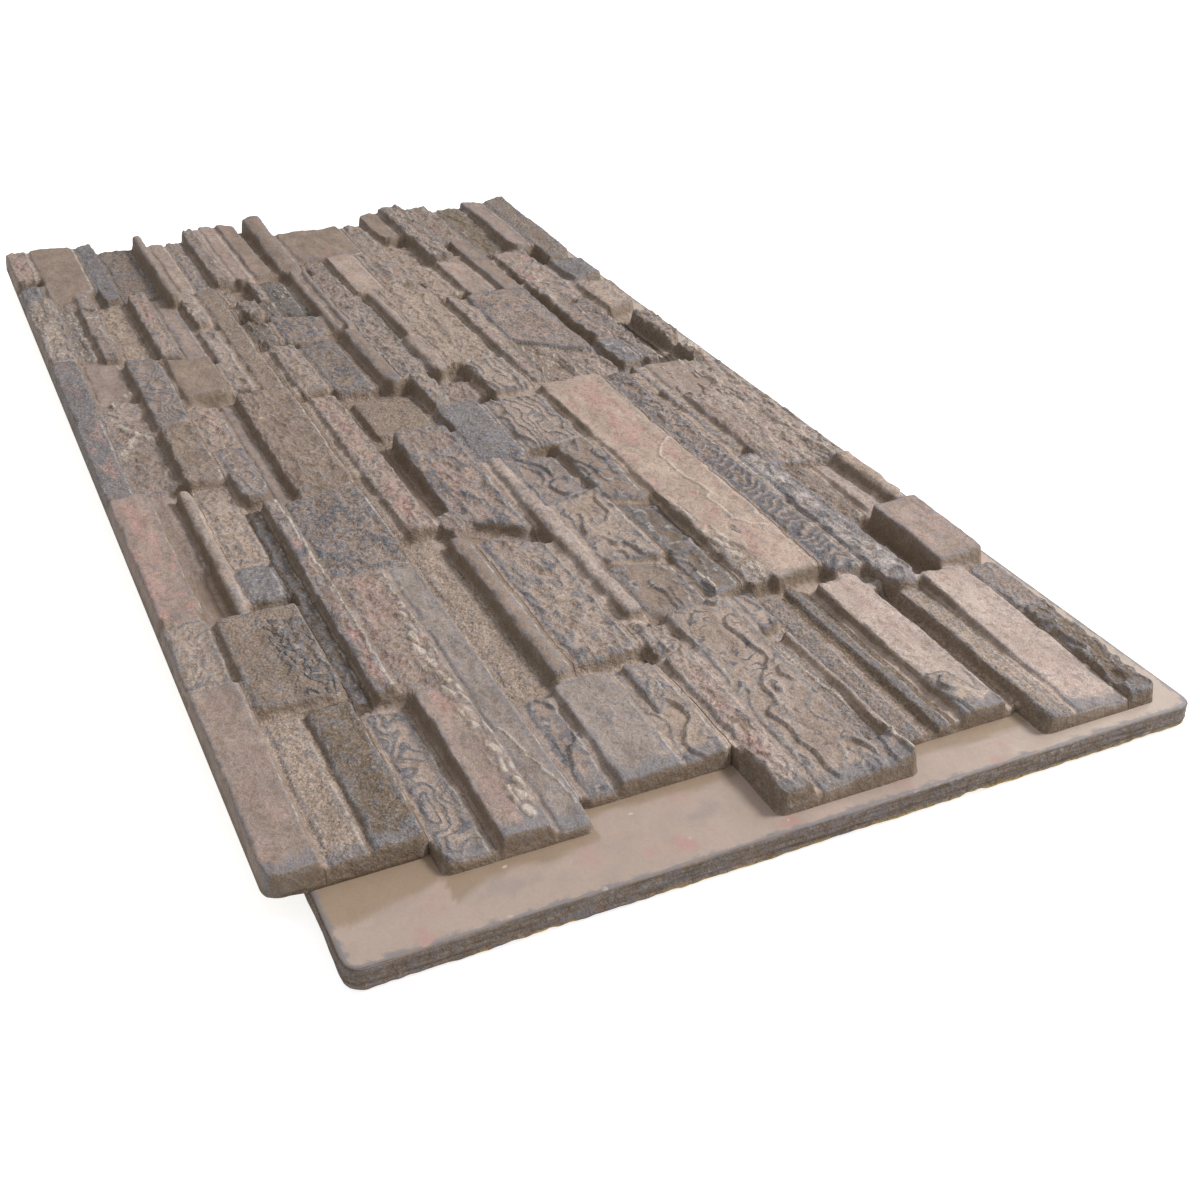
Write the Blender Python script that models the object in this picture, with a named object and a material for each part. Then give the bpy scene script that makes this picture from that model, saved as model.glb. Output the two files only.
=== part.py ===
"""Faux stone wall panel: one moulded board of rigid polyurethane foam.

The board lies on its back, face up. Six bands of ledger stone run along X, each set
further along than the next, over a plain backing plate. The plate stands out past the
bands as a flange at the near end (+X) and as a tongue on the right side (+Y). The
bands hang over the plate at the far end and on the left side, so that the flange and
the tongue of the neighbouring boards slide in under them.
"""

import math
import random
from typing import NamedTuple

import bmesh
import bpy
from mathutils import Vector

MM = 0.001

# Pitch of one board to the next, along and across
PITCH_X = 1162.0
PITCH_Y = 588.0

# Backing plate, whose margins past the bands are the flange and the tongue
PLATE_THICKNESS = 17.5
TONGUE_WIDTH = 22.0
PLATE_SIDE_INSET = 25.0
PLATE_END_INSET = 58.0
PLATE_END_GAP = 1.0
PLATE_CORNER_RADIUS = 12.0
PLATE_EDGE_RADIUS = 3.0
PLATE_BACK_CHAMFER = 0.8

# Moulded face: how far the bands clear a neighbour's plate, and the mortar floor
LAP_CLEARANCE = 1.0
LAP_SKIN = 3.5
LAP_ROOT = 0.5
FLOOR_INSET = 2.0
FLOOR_OVERLAP = 0.7
FLOOR_DROP = 0.1

# Stone blocks: height of the tallest, draft, worn edges and hand-broken outline
TALLEST_STONE = 23.0
WALL_DRAFT = 0.10
WORN_EDGE = 3.0
WORN_SHARE_OF_WIDTH = 0.2
WORN_SHARE_OF_HEIGHT = 0.6
OUTLINE_STEP = 45.0
OUTLINE_WANDER = 1.3
CREST_WANDER = 0.9
SPLIT_FACE = 1.6
SEAT_WANDER = 0.4
ROUND_END_POINTS = 5
BREAK_SEED = 24

LAP_HEIGHT = PLATE_THICKNESS + LAP_CLEARANCE
FLOOR_HEIGHT = LAP_HEIGHT + LAP_SKIN
BAND_ROOT = PLATE_THICKNESS - PLATE_EDGE_RADIUS - LAP_ROOT
PLATE_NEAR = PLATE_END_INSET + PITCH_X - PLATE_END_GAP
PLATE_RIGHT = PITCH_Y + TONGUE_WIDTH


class Stone(NamedTuple):
    """One stone, measured from its band's far left corner and up from the floor."""

    far: float
    near: float
    left: float
    right: float
    relief: float
    far_lean: float = 0.0
    near_lean: float = 0.0
    round_near: bool = False
    near_fall: float = 0.0


class Band(NamedTuple):
    """One band of stones, with its far end, left side and right side."""

    far: float
    left: float
    right: float
    stones: tuple


BAND_1 = Band(-14.0, 0.0, 98.0, (
    Stone(0, 108, 1.5, 26, 14, 6, 4),
    Stone(125, 171, 1.5, 23, 13),
    Stone(173, 346, 1.5, 31, 12, 0, 5),
    Stone(349, 489, 1.5, 28, 12, 5, 0),
    Stone(491, 660, 1.5, 26, 9),
    Stone(662, 870, 1.5, 36, 14, 0, -5),
    Stone(873, 957, 1.5, 35, 10, -5, 3),
    Stone(960, 1162, 1.5, 36, 13),
    Stone(0, 190, 27, 76, 15, 10, -26),
    Stone(8, 200, 78, 98, 14, -8, 4),
    Stone(186, 350, 31, 47, 6),
    Stone(178, 364, 50, 69, 13, -6, 0),
    Stone(203, 368, 72, 98, 4),
    Stone(353, 455, 30, 64, 5),
    Stone(458, 504, 29, 63, 7, 8, -6),
    Stone(507, 655, 28, 63, 5),
    Stone(658, 795, 39, 54, 3, 0, 0, True),
    Stone(672, 878, 55, 67, 13),
    Stone(372, 545, 66, 98, 14, 12, -8),
    Stone(549, 666, 66, 98, 14, -8, 0),
    Stone(670, 809, 69, 98, 8),
    Stone(813, 868, 69, 96, 10, 0, 0, True),
    Stone(881, 1005, 37, 98, 14, -3, 3),
    Stone(1009, 1162, 38, 63, 9),
    Stone(1012, 1162, 65, 98, 12),
))

BAND_2 = Band(7.0, 98.0, 194.0, (
    Stone(0, 176, 2, 38, 8, 5, 0),
    Stone(6, 222, 41, 54, 23, -6, 0, True),
    Stone(4, 188, 58, 76, 11, 6, -8),
    Stone(0, 180, 78, 95, 8, 5, 6),
    Stone(182, 368, 3, 25, 15, -5, 0),
    Stone(186, 378, 27, 49, 7),
    Stone(192, 293, 52, 70, 14, 6, -9, True),
    Stone(297, 467, 51, 70, 10, 7, 5),
    Stone(188, 476, 73, 96, 11, -6, 0),
    Stone(381, 481, 2, 46, 18, 8, -8),
    Stone(481, 693, 45, 96, 16, -4, 4),
    Stone(483, 700, 30, 43, 5),
    Stone(484, 580, 3, 28, 9, 7, -5),
    Stone(583, 694, 3, 28, 14, 5, 0, True),
    Stone(698, 837, 33, 96, 11, 0, 3),
    Stone(702, 1000, 13, 31, 20, 4, 0),
    Stone(702, 998, 1, 12, 8),
    Stone(840, 998, 33, 71, 12),
    Stone(839, 1162, 73, 96, 11, near_fall=8),
    Stone(1001, 1162, 36, 71, 14, near_fall=3),
    Stone(1003, 1162, 3, 31, 4, 5, 0),
))

BAND_3 = Band(-14.0, 194.0, 298.0, (
    Stone(14, 200, 3, 20, 16, -14, 0),
    Stone(0, 203, 25, 43, 15, 4, 4),
    Stone(4, 206, 45, 68, 16, 8, -10),
    Stone(4, 197, 77, 101, 21, -4, 0, True, 8),
    Stone(204, 262, 34, 46, 12, 10, -6),
    Stone(258, 312, 8, 30, 14, 6, -8, True),
    Stone(212, 308, 50, 66, 9, -7, 4),
    Stone(262, 312, 33, 47, 10),
    Stone(208, 254, 4, 14, 7),
    Stone(316, 390, 28, 75, 11, 12, -9),
    Stone(318, 388, 4, 24, 12, 9, 0, True),
    Stone(208, 380, 80, 90, 14, -7, 0),
    Stone(206, 384, 92, 103, 16),
    Stone(395, 528, 7, 35, 13, 6, -6),
    Stone(393, 528, 39, 77, 8, -5, 5),
    Stone(388, 540, 84, 103, 16, 6, 0, True),
    Stone(544, 632, 46, 101, 5, 9, 0),
    Stone(537, 820, 7, 34, 17, 7, 0),
    Stone(799, 836, 35, 56, 14, -6, 5, True),
    Stone(650, 802, 57, 102, 21, 6, 42),
    Stone(824, 1040, 3, 30, 3),
    Stone(837, 1044, 32, 49, 16, 5, 0),
    Stone(845, 1040, 53, 101, 11, 24, -4),
    Stone(1047, 1162, 27, 70, 9),
    Stone(1047, 1162, 71, 102, 8),
    Stone(1048, 1112, 79, 95, 13, 6, -16),
    Stone(1053, 1162, 4, 24, 4),
))

BAND_4 = Band(42.0, 298.0, 400.0, (
    Stone(3, 109, 1, 77, 13, -3, 4),
    Stone(4, 110, 79, 101, 11, 6, 5),
    Stone(114, 226, 65, 101, 12, 5, -6),
    Stone(112, 238, 28, 61, 14, -5, 5),
    Stone(112, 234, 3, 25, 9),
    Stone(229, 462, 51, 101, 12, 6, -6),
    Stone(242, 371, 35, 48, 16, -7, 0, True),
    Stone(374, 478, 30, 48, 16, 6, 0, True),
    Stone(238, 466, 3, 27, 9),
    Stone(465, 544, 61, 101, 14, -5, 8),
    Stone(480, 538, 26, 54, 6, 8, 0),
    Stone(470, 548, 3, 23, 16, 5, -4),
    Stone(545, 662, 4, 46, 11, -7, 6),
    Stone(549, 663, 48, 101, 11, 9, -4),
    Stone(668, 760, 22, 64, 8, 8, -12),
    Stone(668, 780, 67, 101, 14, -10, 10),
    Stone(762, 862, 24, 70, 12, -14, 14),
    Stone(784, 944, 73, 101, 11, 12, -8),
    Stone(867, 944, 22, 70, 7, 14, 5),
    Stone(667, 946, 3, 19, 16, 4, 0),
    Stone(947, 1162, 29, 80, 13, near_fall=5),
    Stone(947, 1001, 82, 101, 12, 0, -6),
    Stone(1006, 1162, 82, 92, 5),
    Stone(1004, 1162, 94, 101, 13),
    Stone(998, 1162, 3, 25, 12, -5, 0),
    Stone(949, 993, 3, 26, 10, 6, -8, True),
))

BAND_5 = Band(16.0, 400.0, 495.0, (
    Stone(14, 113, 3, 27, 17, -12, 0, True),
    Stone(116, 311, 3, 28, 8, 8, -4),
    Stone(0, 205, 31, 60, 21, 12, 6),
    Stone(9, 150, 64, 94, 16, -8, -5),
    Stone(153, 325, 68, 94, 17, -4, 0),
    Stone(207, 317, 33, 65, 14, 6, 0),
    Stone(328, 460, 22, 92, 19, -3, 62, near_fall=4),
    Stone(322, 568, 2, 18, 17, 5, 0),
    Stone(458, 570, 22, 56, 10, 30, 6),
    Stone(500, 572, 58, 92, 12, 28, -4),
    Stone(574, 972, 2, 64, 18, -5, -8, near_fall=5),
    Stone(572, 974, 67, 93, 14, 5, 10),
    Stone(979, 1162, 50, 86, 9, near_fall=2),
    Stone(970, 1162, 30, 41, 4),
    Stone(977, 1162, 4, 20, 3),
))

BAND_6 = Band(43.0, 495.0, 588.0, (
    Stone(0, 178, 34, 61, 22, 6, 0, True, 4),
    Stone(12, 221, 66, 93, 21, -10, -12, near_fall=4),
    Stone(0, 164, 17, 31, 16, 10, 0, near_fall=6),
    Stone(169, 345, 8, 48, 12, 9, -6),
    Stone(348, 448, 8, 30, 13, 6, 8),
    Stone(347, 524, 33, 49, 11, -6, 0),
    Stone(452, 524, 7, 30, 10, 8, -8),
    Stone(225, 305, 54, 93, 18, 14, -8),
    Stone(308, 400, 52, 93, 16, 6, -22),
    Stone(404, 518, 52, 60, 4, 0, -8),
    Stone(406, 496, 70, 93, 16, 12, -16),
    Stone(498, 537, 76, 92, 13),
    Stone(539, 783, 17, 90, 14, 10, 16),
    Stone(612, 690, 16, 48, 17, 10, 12, True),
    Stone(540, 745, 4, 14, 14),
    Stone(788, 880, 71, 88, 21, 4, 0, True),
    Stone(786, 878, 53, 68, 11, 8, 0),
    Stone(884, 980, 47, 89, 18, -5, -4, near_fall=3),
    Stone(750, 990, 0, 26, 16, 8, 0, True),
    Stone(979, 1162, 25, 60, 16, near_fall=9),
    Stone(987, 1048, 65, 92, 7, 0, 8),
    Stone(1051, 1162, 63, 91, 13, -4, 0, near_fall=5),
    Stone(988, 1162, 3, 22, 9),
))

BANDS = (BAND_1, BAND_2, BAND_3, BAND_4, BAND_5, BAND_6)
DRAWN_LENGTH = max(stone.near for stone in BAND_1.stones)
DRAWN_WIDTH = BAND_6.right
DRAWN_RELIEF = max(stone.relief for band in BANDS for stone in band.stones)


def on_board(x, y):
    """Stretch a point of the drawn layout to the board's own pitch, in mm."""
    return x * PITCH_X / DRAWN_LENGTH, y * PITCH_Y / DRAWN_WIDTH


def srgb_channel(value):
    """Turn one 0-255 sRGB channel into a linear one."""
    share = value / 255.0
    return share / 12.92 if share <= 0.04045 else ((share + 0.055) / 1.055) ** 2.4


def painted_foam_material():
    """Matt paint on rigid foam, in the taupe of the photographed board."""
    material = bpy.data.materials.new("painted_polyurethane")
    material.use_nodes = True
    shader = material.node_tree.nodes["Principled BSDF"]
    colour = [srgb_channel(value) for value in (163, 146, 132)]
    shader.inputs["Base Color"].default_value = (*colour, 1.0)
    shader.inputs["Roughness"].default_value = 0.85
    shader.inputs["Metallic"].default_value = 0.0
    return material


def clear_scene():
    """Remove whatever the scene holds."""
    for existing in list(bpy.data.objects):
        bpy.data.objects.remove(existing, do_unlink=True)


def new_collection(name):
    """Add a collection to the scene."""
    collection = bpy.data.collections.new(name)
    bpy.context.scene.collection.children.link(collection)
    return collection


def object_from_bmesh(name, shape, collection, guide=False):
    """Store a bmesh as a new object; a guide is an operand that never renders."""
    bmesh.ops.recalc_face_normals(shape, faces=shape.faces)
    mesh = bpy.data.meshes.new(name)
    shape.to_mesh(mesh)
    shape.free()
    made = bpy.data.objects.new(name, mesh)
    collection.objects.link(made)
    made.hide_render = guide
    if guide:
        made.display_type = "WIRE"
    return made


def block(x_range, y_range, z_range):
    """A rectangular block between the given limits in mm, as a bmesh in metres."""
    shape = bmesh.new()
    bmesh.ops.create_cube(shape, size=1.0)
    spans = (x_range, y_range, z_range)
    size = Vector([(high - low) * MM for low, high in spans])
    centre = Vector([(high + low) * MM / 2 for low, high in spans])
    bmesh.ops.scale(shape, vec=size, verts=shape.verts)
    bmesh.ops.translate(shape, vec=centre, verts=shape.verts)
    return shape


def backing_plate(collection):
    """The plate with its rounded near corners and its worn upper edge."""
    shape = block(
        (PLATE_END_INSET, PLATE_NEAR),
        (PLATE_SIDE_INSET, PLATE_RIGHT),
        (0.0, PLATE_THICKNESS),
    )
    corners = [
        edge
        for edge in shape.edges
        if all(vert.co.x > (PLATE_NEAR - 1.0) * MM for vert in edge.verts)
        and abs(edge.verts[0].co.z - edge.verts[1].co.z) > PLATE_THICKNESS * MM / 2
    ]
    bmesh.ops.bevel(
        shape,
        geom=corners,
        offset=PLATE_CORNER_RADIUS * MM,
        segments=4,
        profile=0.5,
        affect="EDGES",
    )
    upper = level_edges(shape, PLATE_THICKNESS)
    bmesh.ops.bevel(
        shape,
        geom=upper,
        offset=PLATE_EDGE_RADIUS * MM,
        segments=3,
        profile=0.5,
        affect="EDGES",
    )
    lower = level_edges(shape, 0.0)
    bmesh.ops.bevel(
        shape,
        geom=lower,
        offset=PLATE_BACK_CHAMFER * MM,
        segments=1,
        affect="EDGES",
    )
    return object_from_bmesh("stone_panel", shape, collection)


def level_edges(shape, height):
    """The edges of a bmesh that lie at one height in mm."""
    close = 0.01 * MM
    return [
        edge
        for edge in shape.edges
        if all(abs(vert.co.z - height * MM) < close for vert in edge.verts)
    ]


def broken_side(start, end, wander):
    """Points from start to just before end, wandering like a hand-broken edge."""
    length = math.dist(start, end)
    count = max(1, round(length / OUTLINE_STEP))
    points = []
    for step in range(count):
        share = step / count
        drift = 0.0 if step == 0 else wander.uniform(-OUTLINE_WANDER, OUTLINE_WANDER)
        across = ((start[1] - end[1]) / length, (end[0] - start[0]) / length)
        points.append((
            start[0] + (end[0] - start[0]) * share + across[0] * drift,
            start[1] + (end[1] - start[1]) * share + across[1] * drift,
        ))
    return points


def stone_outline(stone, wander):
    """Outline of a stone, counter-clockwise, in mm in its band's own frame."""
    inside = (stone.left + stone.right) / 2
    half = (stone.right - stone.left) / 2
    far_left = (stone.far, stone.left)
    far_right = (stone.far + stone.far_lean, stone.right)
    if stone.round_near:
        centre = stone.near - half
        near_left = (centre, stone.left)
        points = broken_side(far_left, near_left, wander)
        for step in range(ROUND_END_POINTS + 1):
            turn = math.pi * (step / ROUND_END_POINTS - 0.5)
            points.append((centre + half * math.cos(turn), inside + half * math.sin(turn)))
        points += broken_side((centre, stone.right), far_right, wander)[1:]
    else:
        near_left = (stone.near, stone.left)
        near_right = (stone.near + stone.near_lean, stone.right)
        points = broken_side(far_left, near_left, wander)
        points += broken_side(near_left, near_right, wander)
        points += broken_side(near_right, far_right, wander)
    points += broken_side(far_right, far_left, wander)
    return points


def inset_top(shape, top, width, rise):
    """Step a top face inwards by width and up by rise, both in mm."""
    bmesh.ops.inset_region(
        shape,
        faces=[top],
        thickness=width * MM,
        depth=0.0,
        use_even_offset=True,
    )
    bmesh.ops.translate(shape, vec=(0.0, 0.0, rise * MM), verts=top.verts)


def stone_block(name, band, stone, collection, wander):
    """A stone as a drafted block with a worn edge and an uneven crest."""
    base = BAND_ROOT - wander.uniform(0.0, SEAT_WANDER)
    relief = stone.relief * TALLEST_STONE / DRAWN_RELIEF
    top = FLOOR_HEIGHT + relief
    worn = min(
        WORN_EDGE,
        WORN_SHARE_OF_WIDTH * (stone.right - stone.left),
        WORN_SHARE_OF_HEIGHT * relief,
    )
    shape = bmesh.new()
    verts = []
    for x, y in stone_outline(stone, wander):
        board_x, board_y = on_board(band.far + x, band.left + y)
        verts.append(shape.verts.new((board_x * MM, board_y * MM, base * MM)))
    foot = shape.faces.new(verts)
    wall_height = top - worn - base
    raised = bmesh.ops.extrude_face_region(shape, geom=[foot])
    crest = [item for item in raised["geom"] if isinstance(item, bmesh.types.BMFace)][0]
    bmesh.ops.translate(shape, vec=(0.0, 0.0, wall_height * MM), verts=crest.verts)
    draw_in(crest, WALL_DRAFT * (top - worn - LAP_HEIGHT))
    tip_crest(crest, stone.near_fall)
    inset_top(shape, crest, worn, worn)
    split_crest(shape, crest, wander)
    return object_from_bmesh(name, shape, collection, guide=True)


def split_crest(shape, crest, wander):
    """Break a stone's flat crest into facets, as a hammer leaves them."""
    for vert in crest.verts:
        vert.co.z += wander.uniform(-CREST_WANDER, CREST_WANDER) * MM
    facets = bmesh.ops.poke(shape, faces=[crest])
    for vert in facets["verts"]:
        vert.co.z += wander.uniform(-SPLIT_FACE, SPLIT_FACE) * MM


def tip_crest(crest, fall):
    """Let a stone's crest drop by fall, in mm, from its far end to its near end."""
    far = min(vert.co.x for vert in crest.verts)
    near = max(vert.co.x for vert in crest.verts)
    for vert in crest.verts:
        vert.co.z -= fall * MM * (vert.co.x - far) / (near - far)


def draw_in(face, distance):
    """Pull a face's outline towards its middle by a distance in mm, for mould draft."""
    middle = face.calc_center_median()
    half_x = max(abs(vert.co.x - middle.x) for vert in face.verts)
    half_y = max(abs(vert.co.y - middle.y) for vert in face.verts)
    share_x = 1.0 - distance * MM / half_x
    share_y = 1.0 - distance * MM / half_y
    for vert in face.verts:
        vert.co.x = middle.x + (vert.co.x - middle.x) * share_x
        vert.co.y = middle.y + (vert.co.y - middle.y) * share_y


def band_floor(name, band, collection):
    """The mortar floor that a band's stones stand on, just lower than the last one."""
    far, left = on_board(band.far, band.left)
    near, right = on_board(band.far + DRAWN_LENGTH, band.right)
    low = left + FLOOR_INSET if band is BAND_1 else left - FLOOR_OVERLAP
    high = right - FLOOR_INSET if band is BAND_6 else right
    drop = FLOOR_DROP * BANDS.index(band)
    shape = block(
        (far + FLOOR_INSET, near - FLOOR_INSET),
        (low, high),
        (BAND_ROOT + drop, FLOOR_HEIGHT - drop),
    )
    return object_from_bmesh(name, shape, collection, guide=True)


def boolean(target, operation, operand=None, collection=None):
    """Add a Boolean by an object or by a whole collection of closed meshes."""
    modifier = target.modifiers.new(operation.lower(), "BOOLEAN")
    modifier.operation = operation
    modifier.solver = "MANIFOLD"
    if collection is not None:
        modifier.operand_type = "COLLECTION"
        modifier.collection = collection
    else:
        modifier.object = operand
    return modifier


def centre_on_base(panel, collection):
    """Hang every object on one empty, so that the board's base centre is the origin."""
    origin = bpy.data.objects.new("board_origin", None)
    collection.objects.link(origin)
    for made in bpy.data.objects:
        if made is not origin:
            made.parent = origin
    bpy.context.view_layer.update()
    solid = panel.evaluated_get(bpy.context.evaluated_depsgraph_get())
    corners = [Vector(corner) for corner in solid.bound_box]
    lowest = Vector([min(corner[axis] for corner in corners) for axis in range(3)])
    highest = Vector([max(corner[axis] for corner in corners) for axis in range(3)])
    centre = (lowest + highest) / 2
    origin.location = (-centre.x, -centre.y, -lowest.z)


def build_panel():
    """Build the board: stones on their bands, rebates cut below, then the plate."""
    clear_scene()
    parts = new_collection("faux_stone_wall_panel")
    stones = new_collection("stones")
    cutters = new_collection("rebate_cutters")
    wander = random.Random(BREAK_SEED)
    face = band_floor("moulded_face", BAND_1, cutters)
    for number, band in enumerate(BANDS, start=1):
        if band is not BAND_1:
            band_floor(f"floor_{number}", band, stones)
        for index, stone in enumerate(band.stones, start=1):
            stone_block(f"stone_{number}_{index}", band, stone, stones, wander)
    boolean(face, "UNION", collection=stones)

    reach = PLATE_END_INSET + PLATE_SIDE_INSET
    everywhere = (-reach, PLATE_NEAR + reach)
    side_rebate = object_from_bmesh(
        "side_rebate",
        block(everywhere, (-reach, PLATE_SIDE_INSET + LAP_ROOT), (-reach, LAP_HEIGHT)),
        cutters,
        guide=True,
    )
    end_rebate = object_from_bmesh(
        "end_rebate",
        block((-reach, PLATE_END_INSET + LAP_ROOT), everywhere, (-reach, LAP_HEIGHT)),
        cutters,
        guide=True,
    )
    boolean(face, "DIFFERENCE", operand=side_rebate)
    boolean(face, "DIFFERENCE", operand=end_rebate)

    panel = backing_plate(parts)
    boolean(panel, "UNION", operand=face)
    panel.data.materials.append(painted_foam_material())
    centre_on_base(panel, parts)
    return panel


build_panel()
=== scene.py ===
"""Faux stone wall panel, dressed: one moulded board of painted rigid polyurethane foam.

Lengths are in millimetres on the board until a mesh is made: X runs from the far end to
the near end, Y from the left side to the right side, and Z up from the flat back.
"""

import logging
import math
from dataclasses import dataclass, field
from enum import Enum
from typing import Callable, Iterable, NamedTuple

import bpy
import numpy as np
from mathutils import Matrix, Vector


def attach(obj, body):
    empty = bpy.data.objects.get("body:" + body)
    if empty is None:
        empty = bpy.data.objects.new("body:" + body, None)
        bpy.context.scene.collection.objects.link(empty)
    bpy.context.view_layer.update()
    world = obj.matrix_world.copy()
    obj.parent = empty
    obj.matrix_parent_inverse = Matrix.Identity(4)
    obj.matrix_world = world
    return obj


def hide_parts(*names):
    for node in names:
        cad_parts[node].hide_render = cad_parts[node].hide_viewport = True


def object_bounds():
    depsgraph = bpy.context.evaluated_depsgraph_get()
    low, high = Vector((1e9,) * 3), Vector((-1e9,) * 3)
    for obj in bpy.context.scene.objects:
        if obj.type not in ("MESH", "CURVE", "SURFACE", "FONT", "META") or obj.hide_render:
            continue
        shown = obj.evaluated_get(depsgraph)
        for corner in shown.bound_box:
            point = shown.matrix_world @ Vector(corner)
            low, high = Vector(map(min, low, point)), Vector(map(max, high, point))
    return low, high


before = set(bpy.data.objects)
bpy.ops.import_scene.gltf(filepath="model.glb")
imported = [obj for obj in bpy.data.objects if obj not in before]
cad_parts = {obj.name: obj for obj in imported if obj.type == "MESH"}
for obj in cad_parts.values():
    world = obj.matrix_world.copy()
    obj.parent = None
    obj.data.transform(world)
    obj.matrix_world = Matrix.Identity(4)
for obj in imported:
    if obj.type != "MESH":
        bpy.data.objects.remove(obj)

cad_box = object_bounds()

log = logging.getLogger("stone_panel")

# MM turns mm to metres. The others are places and heights on the board in mm
MM = 0.001
PLATE_FAR = 58.0
PLATE_NEAR = 1219.0
PLATE_LEFT = 25.0
PLATE_RIGHT = 610.0
PLATE_TOP = 17.5
BOARD_LENGTH = 1162.0
LAP_HEIGHT = 18.5
FLOOR_HEIGHT = 22.0
HIGHEST_STONE = 46.3
FAR_AWAY = 1.0e6


class Kind(Enum):
    """How the face of a stone is broken or weathered."""

    SLAB = "slab"
    GRANULAR = "granular"
    COARSE = "coarse"
    FLAKY = "flaky"
    CHIPS = "chips"
    SQUIGGLE = "squiggle"
    WAVY = "wavy"
    DIAGONAL = "diagonal"
    ROPE = "rope"
    RAIL = "rail"
    CRAG = "crag"
    LUMPY = "lumpy"
    SWIRL = "swirl"


class Paint(Enum):
    """The spray and dry-brush colours of the board, as sRGB hex. Some are also laid as painted shade and
    painted highlights.
    """

    TAUPE = "#A69287"
    BEIGE = "#B19D90"
    BROWN = "#988476"
    SAND = "#B7A293"
    ROSE = "#BC958D"
    SMOKE = "#878386"
    SLATE = "#66656B"
    UMBER = "#574A3F"
    KHAKI = "#8A7967"
    BARK = "#7D6B5B"
    CREAM = "#D2C5B6"
    PALE = "#BDB1AC"
    TAN = "#BBA79B"
    ASH = "#A3958D"
    BLUSH = "#BEABA0"
    OCHRE = "#A98F70"
    FOAM = "#DDB95C"
    IRON = "#6C675F"


class Stone(NamedTuple):
    """One stone of a band: its box, its relief, how its face is broken and painted."""

    far: float
    near: float
    left: float
    right: float
    relief: float
    kind: Kind
    tone: Paint
    wash: float = 0.3
    rose: float = 0.0
    far_lean: float = 0.0
    near_lean: float = 0.0
    round_near: bool = False
    near_fall: float = 0.0
    right_fall: float = 0.0

    @property
    def width(self) -> float:
        """From its left side to its right side."""
        return self.right - self.left

    @property
    def fullness(self) -> float:
        """How much of the full breakage its face takes, less on a stone under 16 mm wide."""
        return min(1.0, self.width / 16.0)


class Band(NamedTuple):
    """One band of stones, with its far end, left side and right side."""

    far: float
    left: float
    right: float
    stones: tuple

    @property
    def near(self) -> float:
        """Where the band ends, over the flange."""
        return self.far + BOARD_LENGTH


K, P = Kind, Paint

BAND_1 = Band(-14.0, 0.0, 98.0, (
    Stone(0, 108, 1.5, 26, 14, K.LUMPY, P.SAND, 0.25, 0.5, 6, 4),
    Stone(125, 171, 1.5, 23, 13, K.LUMPY, P.SMOKE, 0.5),
    Stone(173, 346, 1.5, 31, 12, K.FLAKY, P.BEIGE, 0.5, 0, 0, 5),
    Stone(349, 489, 1.5, 28, 12, K.GRANULAR, P.SMOKE, 0.5, 0.3, 5, 0),
    Stone(491, 660, 1.5, 26, 9, K.GRANULAR, P.SMOKE, 0.4, 0.6),
    Stone(662, 870, 1.5, 36, 14, K.SLAB, P.TAUPE, 0.2, 0.6, 0, -5),
    Stone(873, 957, 1.5, 35, 10, K.DIAGONAL, P.BEIGE, 0.5, 0, -5, 3),
    Stone(960, 1162, 1.5, 36, 13, K.SLAB, P.TAUPE, 0.25, 0.15),
    Stone(0, 190, 27, 76, 15, K.SLAB, P.BROWN, 0.2, 0, 10, -26),
    Stone(8, 200, 78, 98, 14, K.GRANULAR, P.SMOKE, 0.6, 0, -8, 4),
    Stone(186, 350, 31, 47, 6, K.FLAKY, P.BROWN, 0.6),
    Stone(178, 364, 50, 69, 13, K.CHIPS, P.TAUPE, 0.4, 0, -6, 0),
    Stone(203, 368, 72, 98, 4, K.LUMPY, P.SAND, 0.1),
    Stone(353, 455, 30, 64, 5, K.SLAB, P.TAUPE, 0.1),
    Stone(458, 504, 29, 63, 7, K.CHIPS, P.BEIGE, 0.3, 0, 8, -6),
    Stone(507, 655, 28, 63, 5, K.LUMPY, P.TAUPE, 0.4),
    Stone(658, 795, 39, 54, 3, K.RAIL, P.TAUPE, 0.1, 0, 0, 0, True),
    Stone(672, 878, 55, 67, 13, K.RAIL, P.SAND, 0.3),
    Stone(372, 545, 66, 98, 14, K.SWIRL, P.TAUPE, 0.7, 0, 12, -8),
    Stone(549, 666, 66, 98, 14, K.LUMPY, P.BROWN, 0.3, 0, -8, 0),
    Stone(670, 809, 69, 98, 8, K.LUMPY, P.SAND, 0.3),
    Stone(813, 868, 69, 96, 10, K.DIAGONAL, P.SMOKE, 0.8, 0, 0, 0, True),
    Stone(881, 1005, 37, 98, 14, K.GRANULAR, P.BROWN, 0.35, 0, -3, 3),
    Stone(893, 1003, 66, 97, 14.8, K.CRAG, P.BROWN, 0.9, 0, 10, 3),
    Stone(1009, 1162, 38, 63, 9, K.GRANULAR, P.SAND, 0.25, 0.1),
    Stone(1012, 1162, 65, 98, 12, K.GRANULAR, P.BARK, 0.45),
))

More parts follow.
